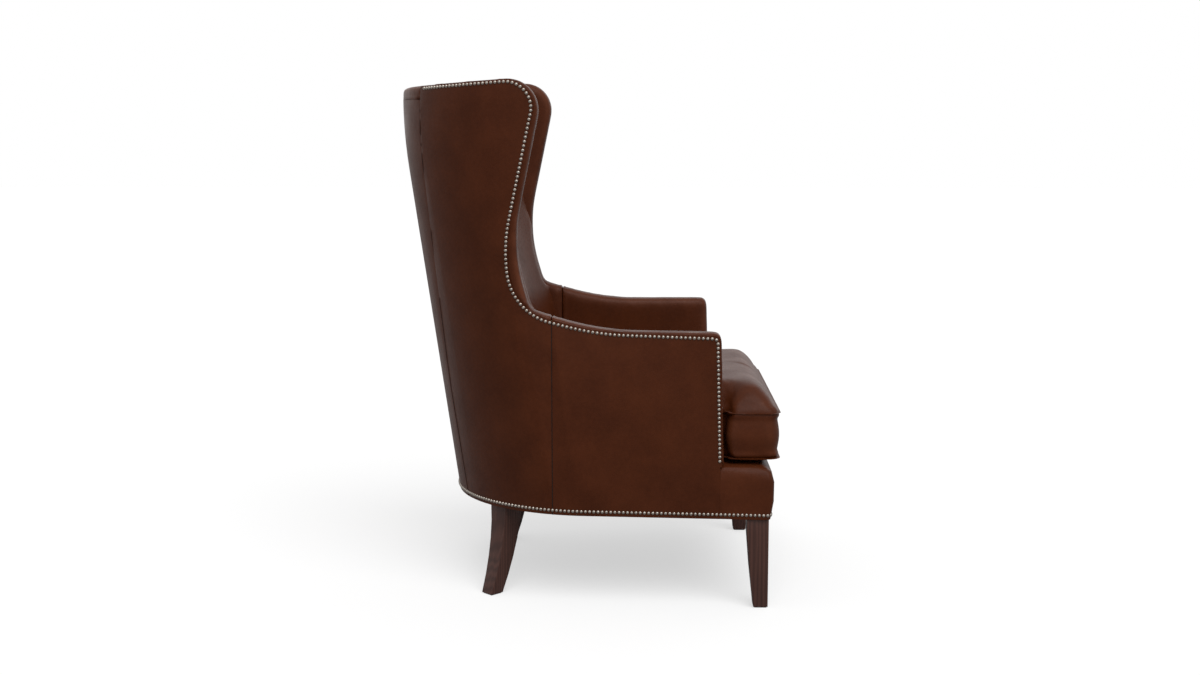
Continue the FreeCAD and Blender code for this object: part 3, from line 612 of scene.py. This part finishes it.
def material(name):
    """The finish of that name, made the first time it is asked for."""
    if name in MATERIALS:
        return MATERIALS[name]
    scene = bpy.context.scene
    hide = scene.chair_leather
    wood = scene.chair_wood
    metal = tuple(scene.chair_nails.colour)
    quarter = math.pi / 2
    raw = {"Roughness": 0.72, "Specular IOR Level": 0.25}
    satin = {"Roughness": 0.38, "Specular IOR Level": 0.22}
    wadding = {"Roughness": 0.9, "Specular IOR Level": 0.1}
    thread = {"Roughness": 0.7, "Specular IOR Level": 0.2}
    moulded = {"Roughness": 0.5, "Specular IOR Level": 0.4}
    plated = {"Roughness": 0.34, "Metallic": 1.0}
    polished = {"Roughness": 0.30, "Metallic": 1.0}
    sawn_dark, sawn_light = (0.38, 0.24, 0.12), (0.62, 0.45, 0.27)
    stain = wood.stain_dark, wood.stain_light
    tarnish = tuple(c * 0.62 for c in metal)

    def hide_finish(gloss):
        return lambda: leather_material(name, hide.dark, hide.light, hide.burnish_and_highlight, gloss)

    def sawn(turn):
        return lambda: wood_material(name, sawn_dark, sawn_light, 60.0, raw, turn)

    def woven(dark, light, threads, surface=raw):
        return lambda: woven_material(name, dark, light, threads, surface)

    def mottled(dark, light, patches, surface, depth=0.0):
        return lambda: mottled_material(name, dark, light, patches, surface, depth)

    makers = {
        "leather": hide_finish(0.36),
        "leather_welt": hide_finish(0.40),
        # Partly real thread and partly painted shade: the thread is near black, darker than the leather,
        # so that it also stands for the shade in the seam's groove.
        "seam_thread_and_shade": woven((0.006, 0.003, 0.002), (0.016, 0.008, 0.006), 900.0, thread),
        "dark_wood": lambda: wood_material(name, *stain, 110.0, satin),
        "frame_wood_z": sawn((0.0, 0.0, 0.0)),
        "frame_wood_x": sawn((0.0, quarter, 0.0)),
        "frame_wood_y": sawn((quarter, 0.0, 0.0)),
        "fibreboard": mottled((0.17, 0.10, 0.05), (0.30, 0.19, 0.10), 260.0, raw, 0.0003),
        "padding": mottled((0.62, 0.58, 0.48), (0.80, 0.77, 0.68), 420.0, wadding, 0.0006),
        "webbing": woven((0.02, 0.018, 0.016), (0.10, 0.09, 0.08), 420.0),
        "black_cloth": woven((0.008, 0.008, 0.008), (0.035, 0.035, 0.035), 650.0),
        "zip_tape": woven((0.012, 0.006, 0.004), (0.05, 0.028, 0.02), 700.0),
        "zinc_steel": mottled((0.42, 0.42, 0.42), (0.66, 0.66, 0.67), 300.0, plated),
        "nickel_nails": mottled(tarnish, metal, 240.0, polished),
        "nylon": mottled((0.03, 0.03, 0.03), (0.06, 0.06, 0.06), 500.0, moulded, 0.0002),
    }
    MATERIALS[name] = makers[name]()
    return MATERIALS[name]


# Making pieces


def new_piece(name, bm):
    """An object at the origin from a bmesh."""
    mesh = bpy.data.meshes.new(name)
    bm.to_mesh(mesh)
    bm.free()
    piece = bpy.data.objects.new(name, mesh)
    bpy.context.scene.collection.objects.link(piece)
    return piece


def merged_copy(name, node_names):
    """The meshes of some CAD nodes as one new piece, with their loose triangles joined."""
    bm = bmesh.new()
    for node in node_names:
        bm.from_mesh(nodes[node].data)
    bmesh.ops.remove_doubles(bm, verts=bm.verts, dist=MERGE_DISTANCE)
    return new_piece(name, bm)


def bake_modifiers(piece):
    """Puts what the modifiers make into the piece's own mesh."""
    graph = bpy.context.evaluated_depsgraph_get()
    mesh = bpy.data.meshes.new_from_object(piece.evaluated_get(graph))
    piece.modifiers.clear()
    piece.data = mesh


def remesh(piece, voxel):
    modifier = piece.modifiers.new("Form", "REMESH")
    modifier.mode = "VOXEL"
    modifier.voxel_size = voxel
    bake_modifiers(piece)


def surface_of(node_names):
    """A tree for finding the nearest place on some CAD nodes."""
    corners, faces = [], []
    for node in node_names:
        mesh = nodes[node].data
        start = len(corners)
        corners.extend(v.co.copy() for v in mesh.vertices)
        faces.extend([start + i for i in face.vertices] for face in mesh.polygons)
    return BVHTree.FromPolygons(corners, faces)


def looseness(piece, held_by, near, far):
    """For each point, 0 where it touches the pieces that hold it, and 1 from some way off."""
    tree = surface_of(held_by)
    loose = []
    for vertex in piece.data.vertices:
        distance = tree.find_nearest(vertex.co, far * SEARCH_REACH)[3]
        share = 1.0 if distance is None else min(1.0, max(0.0, (distance - near) / (far - near)))
        loose.append(share * share * (3 - 2 * share))
    return loose


def round_over(piece, passes, loose):
    """Smooths the free edges, and keeps how far each point was pulled in, for the burnish and the
    painted highlight on the edges.
    """
    bm = bmesh.new()
    bm.from_mesh(piece.data)
    bm.verts.ensure_lookup_table()
    before = [v.co.copy() for v in bm.verts]
    outward = [v.normal.copy() for v in bm.verts]
    for _ in range(passes):
        bmesh.ops.smooth_vert(
            bm, verts=bm.verts, factor=0.5, use_axis_x=True, use_axis_y=True, use_axis_z=True
        )
    pulled = []
    for i, vertex in enumerate(bm.verts):
        move = (vertex.co - before[i]) * loose[i]
        vertex.co = before[i] + move
        pulled.append(min(1.0, max(0.0, -move.dot(outward[i]) / FULL_PULL)))
    bm.to_mesh(piece.data)
    bm.free()
    # The pull is the mask of the painted highlight and burnish.
    if "pulled" not in piece.data.attributes:
        piece.data.attributes.new("pulled", "FLOAT", "POINT").data.foreach_set("value", pulled)


def shift(piece, moves):
    """Moves every point of a piece by its own step."""
    for vertex, move in zip(piece.data.vertices, moves):
        vertex.co += move


def foam_form(name, node, voxel=FOAM_VOXEL, shrink=FOAM_SHRINK, passes=FOAM_PASSES):
    """The filling under a cover: the frame's plain form, rounded and drawn in a little."""
    foam = merged_copy(name, [node])
    remesh(foam, voxel)
    round_over(foam, passes, [1.0] * len(foam.data.vertices))
    shift(foam, [v.normal * -shrink for v in foam.data.vertices])
    shade(foam, SOFT_ANGLE)
    return foam


def trimmed_copy(name, node_names, floor):
    """Some CAD nodes as one new piece, cut off and closed below a height."""
    piece = merged_copy(name, node_names)
    bm = bmesh.new()
    bm.from_mesh(piece.data)
    everything = list(bm.verts) + list(bm.edges) + list(bm.faces)
    cut = bmesh.ops.bisect_plane(
        bm, geom=everything, plane_co=(0, 0, floor), plane_no=(0, 0, -1), clear_outer=True
    )
    rim = [e for e in cut["geom_cut"] if isinstance(e, bmesh.types.BMEdge)]
    bmesh.ops.holes_fill(bm, edges=rim)
    bm.to_mesh(piece.data)
    bm.free()
    return piece


def joined(name, pieces):
    """Several new pieces as one mesh."""
    bm = bmesh.new()
    for piece in pieces:
        bm.from_mesh(piece.data)
        bpy.data.objects.remove(piece)
    return new_piece(name, bm)


def inflate(piece, pressure, limit, loose, frames=20):
    """Swells the cover with its filling's pressure, and applies what the cloth did."""
    scene = bpy.context.scene
    rest = [v.co.copy() for v in piece.data.vertices]
    cloth = piece.modifiers.new("Filling", "CLOTH")
    sheet = cloth.settings
    sheet.quality = 5
    sheet.mass = 0.3
    sheet.tension_stiffness = 15
    sheet.compression_stiffness = 15
    sheet.shear_stiffness = 5
    sheet.bending_stiffness = 0.5
    sheet.use_pressure = True
    sheet.uniform_pressure_force = pressure
    sheet.effector_weights.gravity = 0
    cloth.collision_settings.use_collision = False
    cloth.point_cache.frame_start = 1
    cloth.point_cache.frame_end = frames
    for step in range(1, frames + 1):
        scene.frame_set(step)
    bake_modifiers(piece)
    scene.frame_set(1)
    for i, vertex in enumerate(piece.data.vertices):
        move = (vertex.co - rest[i]) * loose[i]
        if move.length > limit:
            move *= limit / move.length
        vertex.co = rest[i] + move


def subdivide(piece, levels=1):
    modifier = piece.modifiers.new("Fullness", "SUBSURF")
    modifier.levels = levels
    modifier.render_levels = levels
    bake_modifiers(piece)


def shade(piece, angle):
    """Smooth shading that stays sharp across edges steeper than the angle."""
    mesh = piece.data
    mesh.shade_smooth()
    mesh.set_sharp_from_angle(angle=angle)


def round_edges(piece, width, angle):
    modifier = piece.modifiers.new("Edges", "BEVEL")
    modifier.width = width
    modifier.segments = 3
    modifier.limit_method = "ANGLE"
    modifier.angle_limit = angle
    modifier.harden_normals = False
    bake_modifiers(piece)


def finish_piece(piece, finish, body, replaced):
    """Gives a piece its finish, its body and the nodes that it stands for."""
    piece.data.materials.clear()
    piece.data.materials.append(material(finish))
    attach(piece, body)
    if replaced:
        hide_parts(*replaced)
    return piece


def finish_node(node, finish):
    """Gives a CAD node that stays in view its finish."""
    mesh = nodes[node].data
    mesh.materials.clear()
    mesh.materials.append(material(finish))


def tube(name, path, radius, sides=8):
    """A thin round run along a path, from a disc that is extruded point by point."""
    bm = bmesh.new()
    ring = None
    for i, point in enumerate(path):
        ahead = path[min(i + 1, len(path) - 1)] - path[max(i - 1, 0)]
        turn = ahead.to_track_quat("Z", "Y").to_matrix().to_4x4()
        place = Matrix.Translation(point) @ turn
        at_end = i in (0, len(path) - 1)
        made = bmesh.ops.create_circle(
            bm, cap_ends=at_end, segments=sides, radius=radius, matrix=place
        )
        edges = list({e for v in made["verts"] for e in v.link_edges})
        if ring:
            bmesh.ops.bridge_loops(bm, edges=ring + edges)
        ring = edges
    bmesh.ops.recalc_face_normals(bm, faces=bm.faces)
    return new_piece(name, bm)


def seam_path(first, second):
    """The outer line where two covers meet, from the base up."""
    tree = surface_of([second])
    spots = {}
    for vertex in nodes[first].data.vertices:
        if vertex.co.z > SEAM_TOP or tree.find_nearest(vertex.co, SEAM_CONTACT)[0] is None:
            continue
        key = round(vertex.co.z / SEAM_STEP)
        reach = math.hypot(vertex.co.x, vertex.co.y - BARREL_AXIS_Y)
        if key not in spots or reach > spots[key][0]:
            spots[key] = (reach, vertex.co.copy())
    return [spots[key][1] for key in sorted(spots)]


# Padded pieces


class CHAIR_OT_wing_and_arm_rolls(bpy.types.Operator):
    """Leather over foam on the inner faces and rolled front edges of the arms and wings"""

    bl_idname = "chair.wing_and_arm_rolls"
    bl_label = "Wing and Arm Rolls"

    def execute(self, context):
        hide = context.scene.chair_leather
        for side in SIDES:
            neighbours = {
                "arm": [f"wing_pad_{side}", f"inside_wing_cover_{side}", f"outside_arm_cover_{side}"],
                "wing": [
                    f"arm_pad_{side}",
                    f"inside_arm_cover_{side}",
                    f"outside_wing_cover_{side}",
                    "back_pad",
                    "inside_back_cover",
                    "outside_back_cover",
                ],
            }
            for name, held_by in neighbours.items():
                cover, pad = f"inside_{name}_cover_{side}", f"{name}_pad_{side}"
                backing = [f"{part}_{side}" for part in BACKING[name]]
                inner = trimmed_copy("backing", backing, BACKING_FLOOR)
                skin = merged_copy("skin", [cover, pad])
                piece = joined(f"{name}_leather_{side}", [skin, inner])
                remesh(piece, hide.voxel)
                round_over(piece, hide.roll_passes, looseness(piece, held_by, *ROLL_EDGES))
                shade(piece, SOFT_ANGLE)
                finish_piece(piece, "leather", "chair", [cover])
                foam = foam_form(f"{name}_foam_{side}", pad)
                finish_piece(foam, "padding", "chair", [pad])
        return {"FINISHED"}


class CHAIR_OT_inside_back(bpy.types.Operator):
    """The padded panel that the sitter leans on"""

    bl_idname = "chair.inside_back"
    bl_label = "Inside Back"

    def execute(self, context):
        hide = context.scene.chair_leather
        piece = merged_copy("back_leather", ["inside_back_cover", "back_pad", "top_back_rail"])
        remesh(piece, hide.voxel)
        beside = [f"{part}_{side}" for part in ("inside_wing_cover", "wing_pad") for side in SIDES]
        held_by = ["outside_back_cover", *beside]
        round_over(piece, hide.roll_passes, looseness(piece, held_by, *BACK_EDGES))
        shade(piece, SOFT_ANGLE)
        finish_piece(piece, "leather", "chair", ["inside_back_cover"])
        foam = foam_form("back_foam", "back_pad")
        finish_piece(foam, "padding", "chair", ["back_pad"])
        return {"FINISHED"}


class CHAIR_OT_front_border(bpy.types.Operator):
    """The padded leather band across the front rail, and the deck's padding behind it"""

    bl_idname = "chair.front_border"
    bl_label = "Front Border"

    def execute(self, context):
        piece = merged_copy("front_border_leather", ["front_rail_cover"])
        round_edges(piece, COVER_EDGE, COVER_ANGLE)
        shade(piece, COVER_ANGLE)
        finish_piece(piece, "leather", "chair", ["front_rail_cover"])
        for node in ("front_border_pad", "deck_pad"):
            name = node.replace("pad", "foam")
            foam = foam_form(name, node, FLAT_FOAM_VOXEL, FLAT_FOAM_SHRINK, FLAT_FOAM_PASSES)
            finish_piece(foam, "padding", "chair", [node])
        cloth = merged_copy("deck_cambric", ["deck_cloth"])
        shade(cloth, CLOTH_ANGLE)
        finish_piece(cloth, "black_cloth", "chair", ["deck_cloth"])
        return {"FINISHED"}


class CHAIR_OT_outside_covers(bpy.types.Operator):
    """Flat leather stretched over the outside of the barrel, with its seams, whose near-black threads
    also stand for painted shade in the seam grooves
    """

    bl_idname = "chair.outside_covers"
    bl_label = "Outside Covers"

    def execute(self, context):
        covers = [f"outside_{part}_cover_{side}" for part in ("arm", "wing") for side in SIDES]
        for node in [*covers, "outside_back_cover"]:
            piece = merged_copy(node.replace("cover", "leather"), [node])
            round_edges(piece, COVER_EDGE, COVER_ANGLE)
            shade(piece, COVER_ANGLE)
            finish_piece(piece, "leather", "chair", [node])
        for side in SIDES:
            arm, wing = f"outside_arm_cover_{side}", f"outside_wing_cover_{side}"
            for name, path in (
                ("arm", seam_path(arm, wing)),
                ("back", seam_path(wing, "outside_back_cover")),
            ):
                # Painted shade: the dark thread in each seam also stands for the shade in the seam's
                # groove.
                seam = tube(f"{name}_seam_{side}", path, SEAM_RADIUS)
                shade(seam, SOFT_ANGLE)
                finish_piece(seam, "seam_thread_and_shade", "chair", [])
        return {"FINISHED"}


class CHAIR_OT_seat_cushion(bpy.types.Operator):
    """The loose box cushion with its crown, welts and zip"""

    bl_idname = "chair.seat_cushion"
    bl_label = "Seat Cushion"

    def execute(self, context):
        settings = context.scene.chair_cushion
        skins = ["cushion_core", "cushion_top_panel", "cushion_bottom_panel", "cushion_boxing"]
        piece = merged_copy("cushion_leather", skins)
        remesh(piece, settings.voxel)
        loose = looseness(piece, ["cushion_welts", "cushion_zipper"], *CUSHION_EDGES)
        round_over(piece, settings.crown_passes, loose)
        low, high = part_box("cushion_boxing")
        crown = looseness(piece, ["cushion_welts"], *CROWN_EDGES)
        crown = [share if v.co.z > high.z else 0.0 for share, v in zip(crown, piece.data.vertices)]
        round_over(piece, 4 * settings.crown_passes, crown)
        sewn = looseness(piece, ["cushion_welts"], *SEWN_EDGES)
        depths = [settings.seam_dip * (share - 1.0) for share in sewn]
        shift(piece, [v.normal * depth for v, depth in zip(piece.data.vertices, depths)])
        for i, vertex in enumerate(piece.data.vertices):
            if vertex.co.z < low.z + BOTTOM_MARGIN:
                loose[i] *= BOTTOM_SHARE
            elif vertex.co.z < high.z and vertex.co.y > low.y + SIDE_START:
                loose[i] *= SIDE_SHARE
        inflate(piece, settings.pressure, settings.swell_limit, loose)
        middle, half = (high.z + low.z) / 2, (high.z - low.z) / 2
        moves = []
        for vertex in piece.data.vertices:
            across = max(0.0, 1.0 - ((vertex.co.z - middle) / half) ** 2)
            ahead = (low.y + BOXING_REACH - vertex.co.y) / BOXING_FADE
            in_front = min(1.0, max(0.0, ahead))
            level = Vector((vertex.normal.x, vertex.normal.y, 0.0))
            moves.append(level * (settings.boxing_swell * across * in_front))
        shift(piece, moves)
        subdivide(piece)
        shade(piece, CUSHION_ANGLE)
        finish_piece(piece, "leather", "seat_cushion", skins[1:])
        core = foam_form("cushion_foam", "cushion_core", CORE_VOXEL, CORE_SHRINK)
        finish_piece(core, "padding", "seat_cushion", ["cushion_core"])
        welts = merged_copy("cushion_piping", ["cushion_welts"])
        bm = bmesh.new()
        bm.from_mesh(welts.data)
        bmesh.ops.dissolve_limit(bm, angle_limit=math.radians(1), verts=bm.verts, edges=bm.edges)
        swell = {v: v.normal * WELT_SWELL for v in bm.verts}
        for vertex, move in swell.items():
            vertex.co += move
        bm.to_mesh(welts.data)
        bm.free()
        subdivide(welts)
        shade(welts, TUBE_ANGLE)
        finish_piece(welts, "leather_welt", "seat_cushion", ["cushion_welts"])
        finish_node("cushion_zipper", "zip_tape")
        return {"FINISHED"}


# Trim, legs and frame


def nail_dome(radius, height):
    """The half ball of one nail head, open below."""
    bm = bmesh.new()
    bmesh.ops.create_uvsphere(bm, u_segments=8, v_segments=6, radius=radius)
    everything = list(bm.verts) + list(bm.edges) + list(bm.faces)
    bmesh.ops.bisect_plane(
        bm,
        geom=everything,
        plane_co=(0, 0, 0),
        plane_no=(0, 0, 1),
        clear_inner=True,
        dist=MERGE_DISTANCE,
    )
    bmesh.ops.scale(bm, verts=bm.verts, vec=(1, 1, height / radius))
    mesh = bpy.data.meshes.new("nail_dome")
    bm.to_mesh(mesh)
    bm.free()
    return mesh


def nail_places():
    """The foot and the direction of every nail head in the frame."""
    bm = bmesh.new()
    bm.from_mesh(nodes["nail_trim"].data)
    bmesh.ops.remove_doubles(bm, verts=bm.verts, dist=MERGE_DISTANCE)
    left = set(bm.verts)
    places = []
    while left:
        heap = [left.pop()]
        island = []
        while heap:
            vertex = heap.pop()
            island.append(vertex)
            for edge in vertex.link_edges:
                other = edge.other_vert(vertex)
                if other in left:
                    left.remove(other)
                    heap.append(other)
        middle = sum((v.co for v in island), Vector()) / len(island)
        tip = min(island, key=lambda v: (v.co - middle).length)
        foot = sum((v.co for v in island if v is not tip), Vector()) / (len(island) - 1)
        places.append((foot, (tip.co - foot).normalized()))
    bm.free()
    return sorted(places, key=lambda p: tuple(p[0]))


class CHAIR_OT_nail_heads(bpy.types.Operator):
    """A domed head on every decorative nail"""

    bl_idname = "chair.nail_heads"
    bl_label = "Nail Heads"

    def execute(self, context):
        settings = context.scene.chair_nails
        dome = nail_dome(settings.radius, settings.height)
        bm = bmesh.new()
        for foot, direction in nail_places():
            count = len(bm.verts)
            bm.from_mesh(dome)
            bm.verts.ensure_lookup_table()
            turn = direction.to_track_quat("Z", "Y").to_matrix().to_4x4()
            bmesh.ops.transform(bm, matrix=Matrix.Translation(foot) @ turn, verts=bm.verts[count:])
        piece = new_piece("nail_heads", bm)
        shade(piece, TUBE_ANGLE)
        finish_piece(piece, "nickel_nails", "chair", ["nail_trim"])
        return {"FINISHED"}


class CHAIR_OT_legs(bpy.types.Operator):
    """The four stained legs and their glides"""

    bl_idname = "chair.legs"
    bl_label = "Legs"

    def execute(self, context):
        width = context.scene.chair_wood.edge_round
        for node in [f"{end}_leg_{side}" for end in ("front", "rear") for side in SIDES]:
            piece = merged_copy(node.replace("leg", "turned_leg"), [node])
            round_edges(piece, width, LEG_EDGE_ANGLE)
            shade(piece, WOOD_ANGLE)
            finish_piece(piece, "dark_wood", "chair", [node])
        finish_node("glides", "nylon")
        return {"FINISHED"}


class CHAIR_OT_inner_frame(bpy.types.Operator):
    """The wooden frame, boards, webbing, bolts and dust cover under the upholstery"""

    bl_idname = "chair.inner_frame"
    bl_label = "Inner Frame"

    def execute(self, context):
        for entry in frame["record"]["subparts"]:
            node, slot = entry["node"], entry["material_slot"]
            if slot == "frame_wood":
                low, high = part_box(node)
                size = high - low
                longest = max(range(3), key=lambda i: size[i])
                finish_node(node, "frame_wood_" + "xyz"[longest])
            elif slot in ("fibreboard", "webbing", "black_cloth", "zinc_steel"):
                finish_node(node, slot)
            elif not nodes[node].data.materials or nodes[node].hide_render:
                finish_node(node, "padding" if slot in ("padding", "cushion_fill") else "leather")
        return {"FINISHED"}


# Stage


def soft_sun(name, toward, strength, spread):
    """Even light from one direction, with a soft edge to its shadow."""
    light = bpy.data.lights.new(name, "SUN")
    light.energy = strength
    light.angle = spread
    lamp = bpy.data.objects.new(name, light)
    bpy.context.scene.collection.objects.link(lamp)
    lamp.rotation_euler = Vector(toward).to_track_quat("Z", "Y").to_euler()
    return lamp


def seen_directly(tree):
    """1 for what the camera, a mirror or clear glass sees."""
    path = tree.nodes.new("ShaderNodeLightPath")
    seen = maths(tree, "MAXIMUM", path.outputs["Is Camera Ray"], path.outputs["Is Glossy Ray"])
    return maths(tree, "MAXIMUM", seen, path.outputs["Is Transmission Ray"])


class CHAIR_OT_stage(bpy.types.Operator):
    """A pale floor, soft light and the camera"""

    bl_idname = "chair.stage"
    bl_label = "Stage"

    def execute(self, context):
        scene = context.scene
        settings = scene.chair_stage
        bm = bmesh.new()
        bmesh.ops.create_grid(bm, x_segments=2, y_segments=2, size=FLOOR_HALF_WIDTH)
        floor = new_piece("floor", bm)
        paint = bpy.data.materials.new("floor_paint")
        paint.use_nodes = True
        tree = paint.node_tree
        tree.nodes.clear()
        matt = add_node(tree, "ShaderNodeBsdfDiffuse", None, {"Color": FLOOR_TONE})
        glow = add_node(tree, "ShaderNodeEmission", None, {"Color": WHITE})
        path = tree.nodes.new("ShaderNodeLightPath")
        seen = maths(tree, "MULTIPLY", path.outputs["Is Camera Ray"], FLOOR_GLOW)
        tree.links.new(seen, glow.inputs["Strength"])
        both = tree.nodes.new("ShaderNodeAddShader")
        tree.links.new(matt.outputs[0], both.inputs[0])
        tree.links.new(glow.outputs[0], both.inputs[1])
        out = tree.nodes.new("ShaderNodeOutputMaterial")
        tree.links.new(both.outputs[0], out.inputs["Surface"])
        floor.data.materials.append(paint)

        world = bpy.data.worlds.new("studio")
        scene.world = world
        world.use_nodes = True
        sky = world.node_tree
        background = sky.nodes["Background"]
        background.inputs["Color"].default_value = WHITE
        fill = maths(sky, "MULTIPLY", seen_directly(sky), ROOM_SEEN)
        sky.links.new(maths(sky, "ADD", fill, ROOM_LIGHT), background.inputs["Strength"])

        soft_sun("key", KEY_FROM, KEY_STRENGTH, KEY_SPREAD)

        eye = bpy.data.cameras.new("camera")
        eye.sensor_width = 36
        eye.lens = settings.lens
        camera = bpy.data.objects.new("camera", eye)
        scene.collection.objects.link(camera)
        camera.rotation_euler = (math.pi / 2 - settings.tilt, 0.0, settings.turn - math.pi / 2)
        camera.location = settings.eye
        scene.camera = camera
        scene.view_settings.view_transform = "Standard"
        return {"FINISHED"}


# Panel and registration


class CHAIR_PT_upholstery(bpy.types.Panel):
    """Lists the chair's pieces and its settings"""

    bl_idname = "CHAIR_PT_upholstery"
    bl_label = "Wing Chair"
    bl_space_type = "VIEW_3D"
    bl_region_type = "UI"
    bl_category = "Wing Chair"

    def draw(self, context):
        layout = self.layout
        for operator in OPERATORS:
            layout.operator(operator.bl_idname)
        for name, group_class in SETTINGS.items():
            box = layout.box()
            for prop in group_class.__annotations__:
                box.prop(getattr(context.scene, name), prop)


SETTINGS = {
    "chair_leather": LeatherSettings,
    "chair_cushion": CushionSettings,
    "chair_nails": NailSettings,
    "chair_wood": WoodSettings,
    "chair_stage": StageSettings,
}
OPERATORS = (
    CHAIR_OT_wing_and_arm_rolls,
    CHAIR_OT_inside_back,
    CHAIR_OT_front_border,
    CHAIR_OT_outside_covers,
    CHAIR_OT_seat_cushion,
    CHAIR_OT_nail_heads,
    CHAIR_OT_legs,
    CHAIR_OT_inner_frame,
    CHAIR_OT_stage,
)


def register():
    for kept in (*SETTINGS.values(), *OPERATORS, CHAIR_PT_upholstery):
        bpy.utils.register_class(kept)
    for name, group_class in SETTINGS.items():
        setattr(bpy.types.Scene, name, bpy.props.PointerProperty(type=group_class))


def unregister():
    for name in SETTINGS:
        delattr(bpy.types.Scene, name)
    for kept in reversed((*SETTINGS.values(), *OPERATORS, CHAIR_PT_upholstery)):
        bpy.utils.unregister_class(kept)


def main():
    register()
    for operator in OPERATORS:
        getattr(bpy.ops.chair, operator.bl_idname.split(".")[1])()


if __name__ == "__main__":
    main()
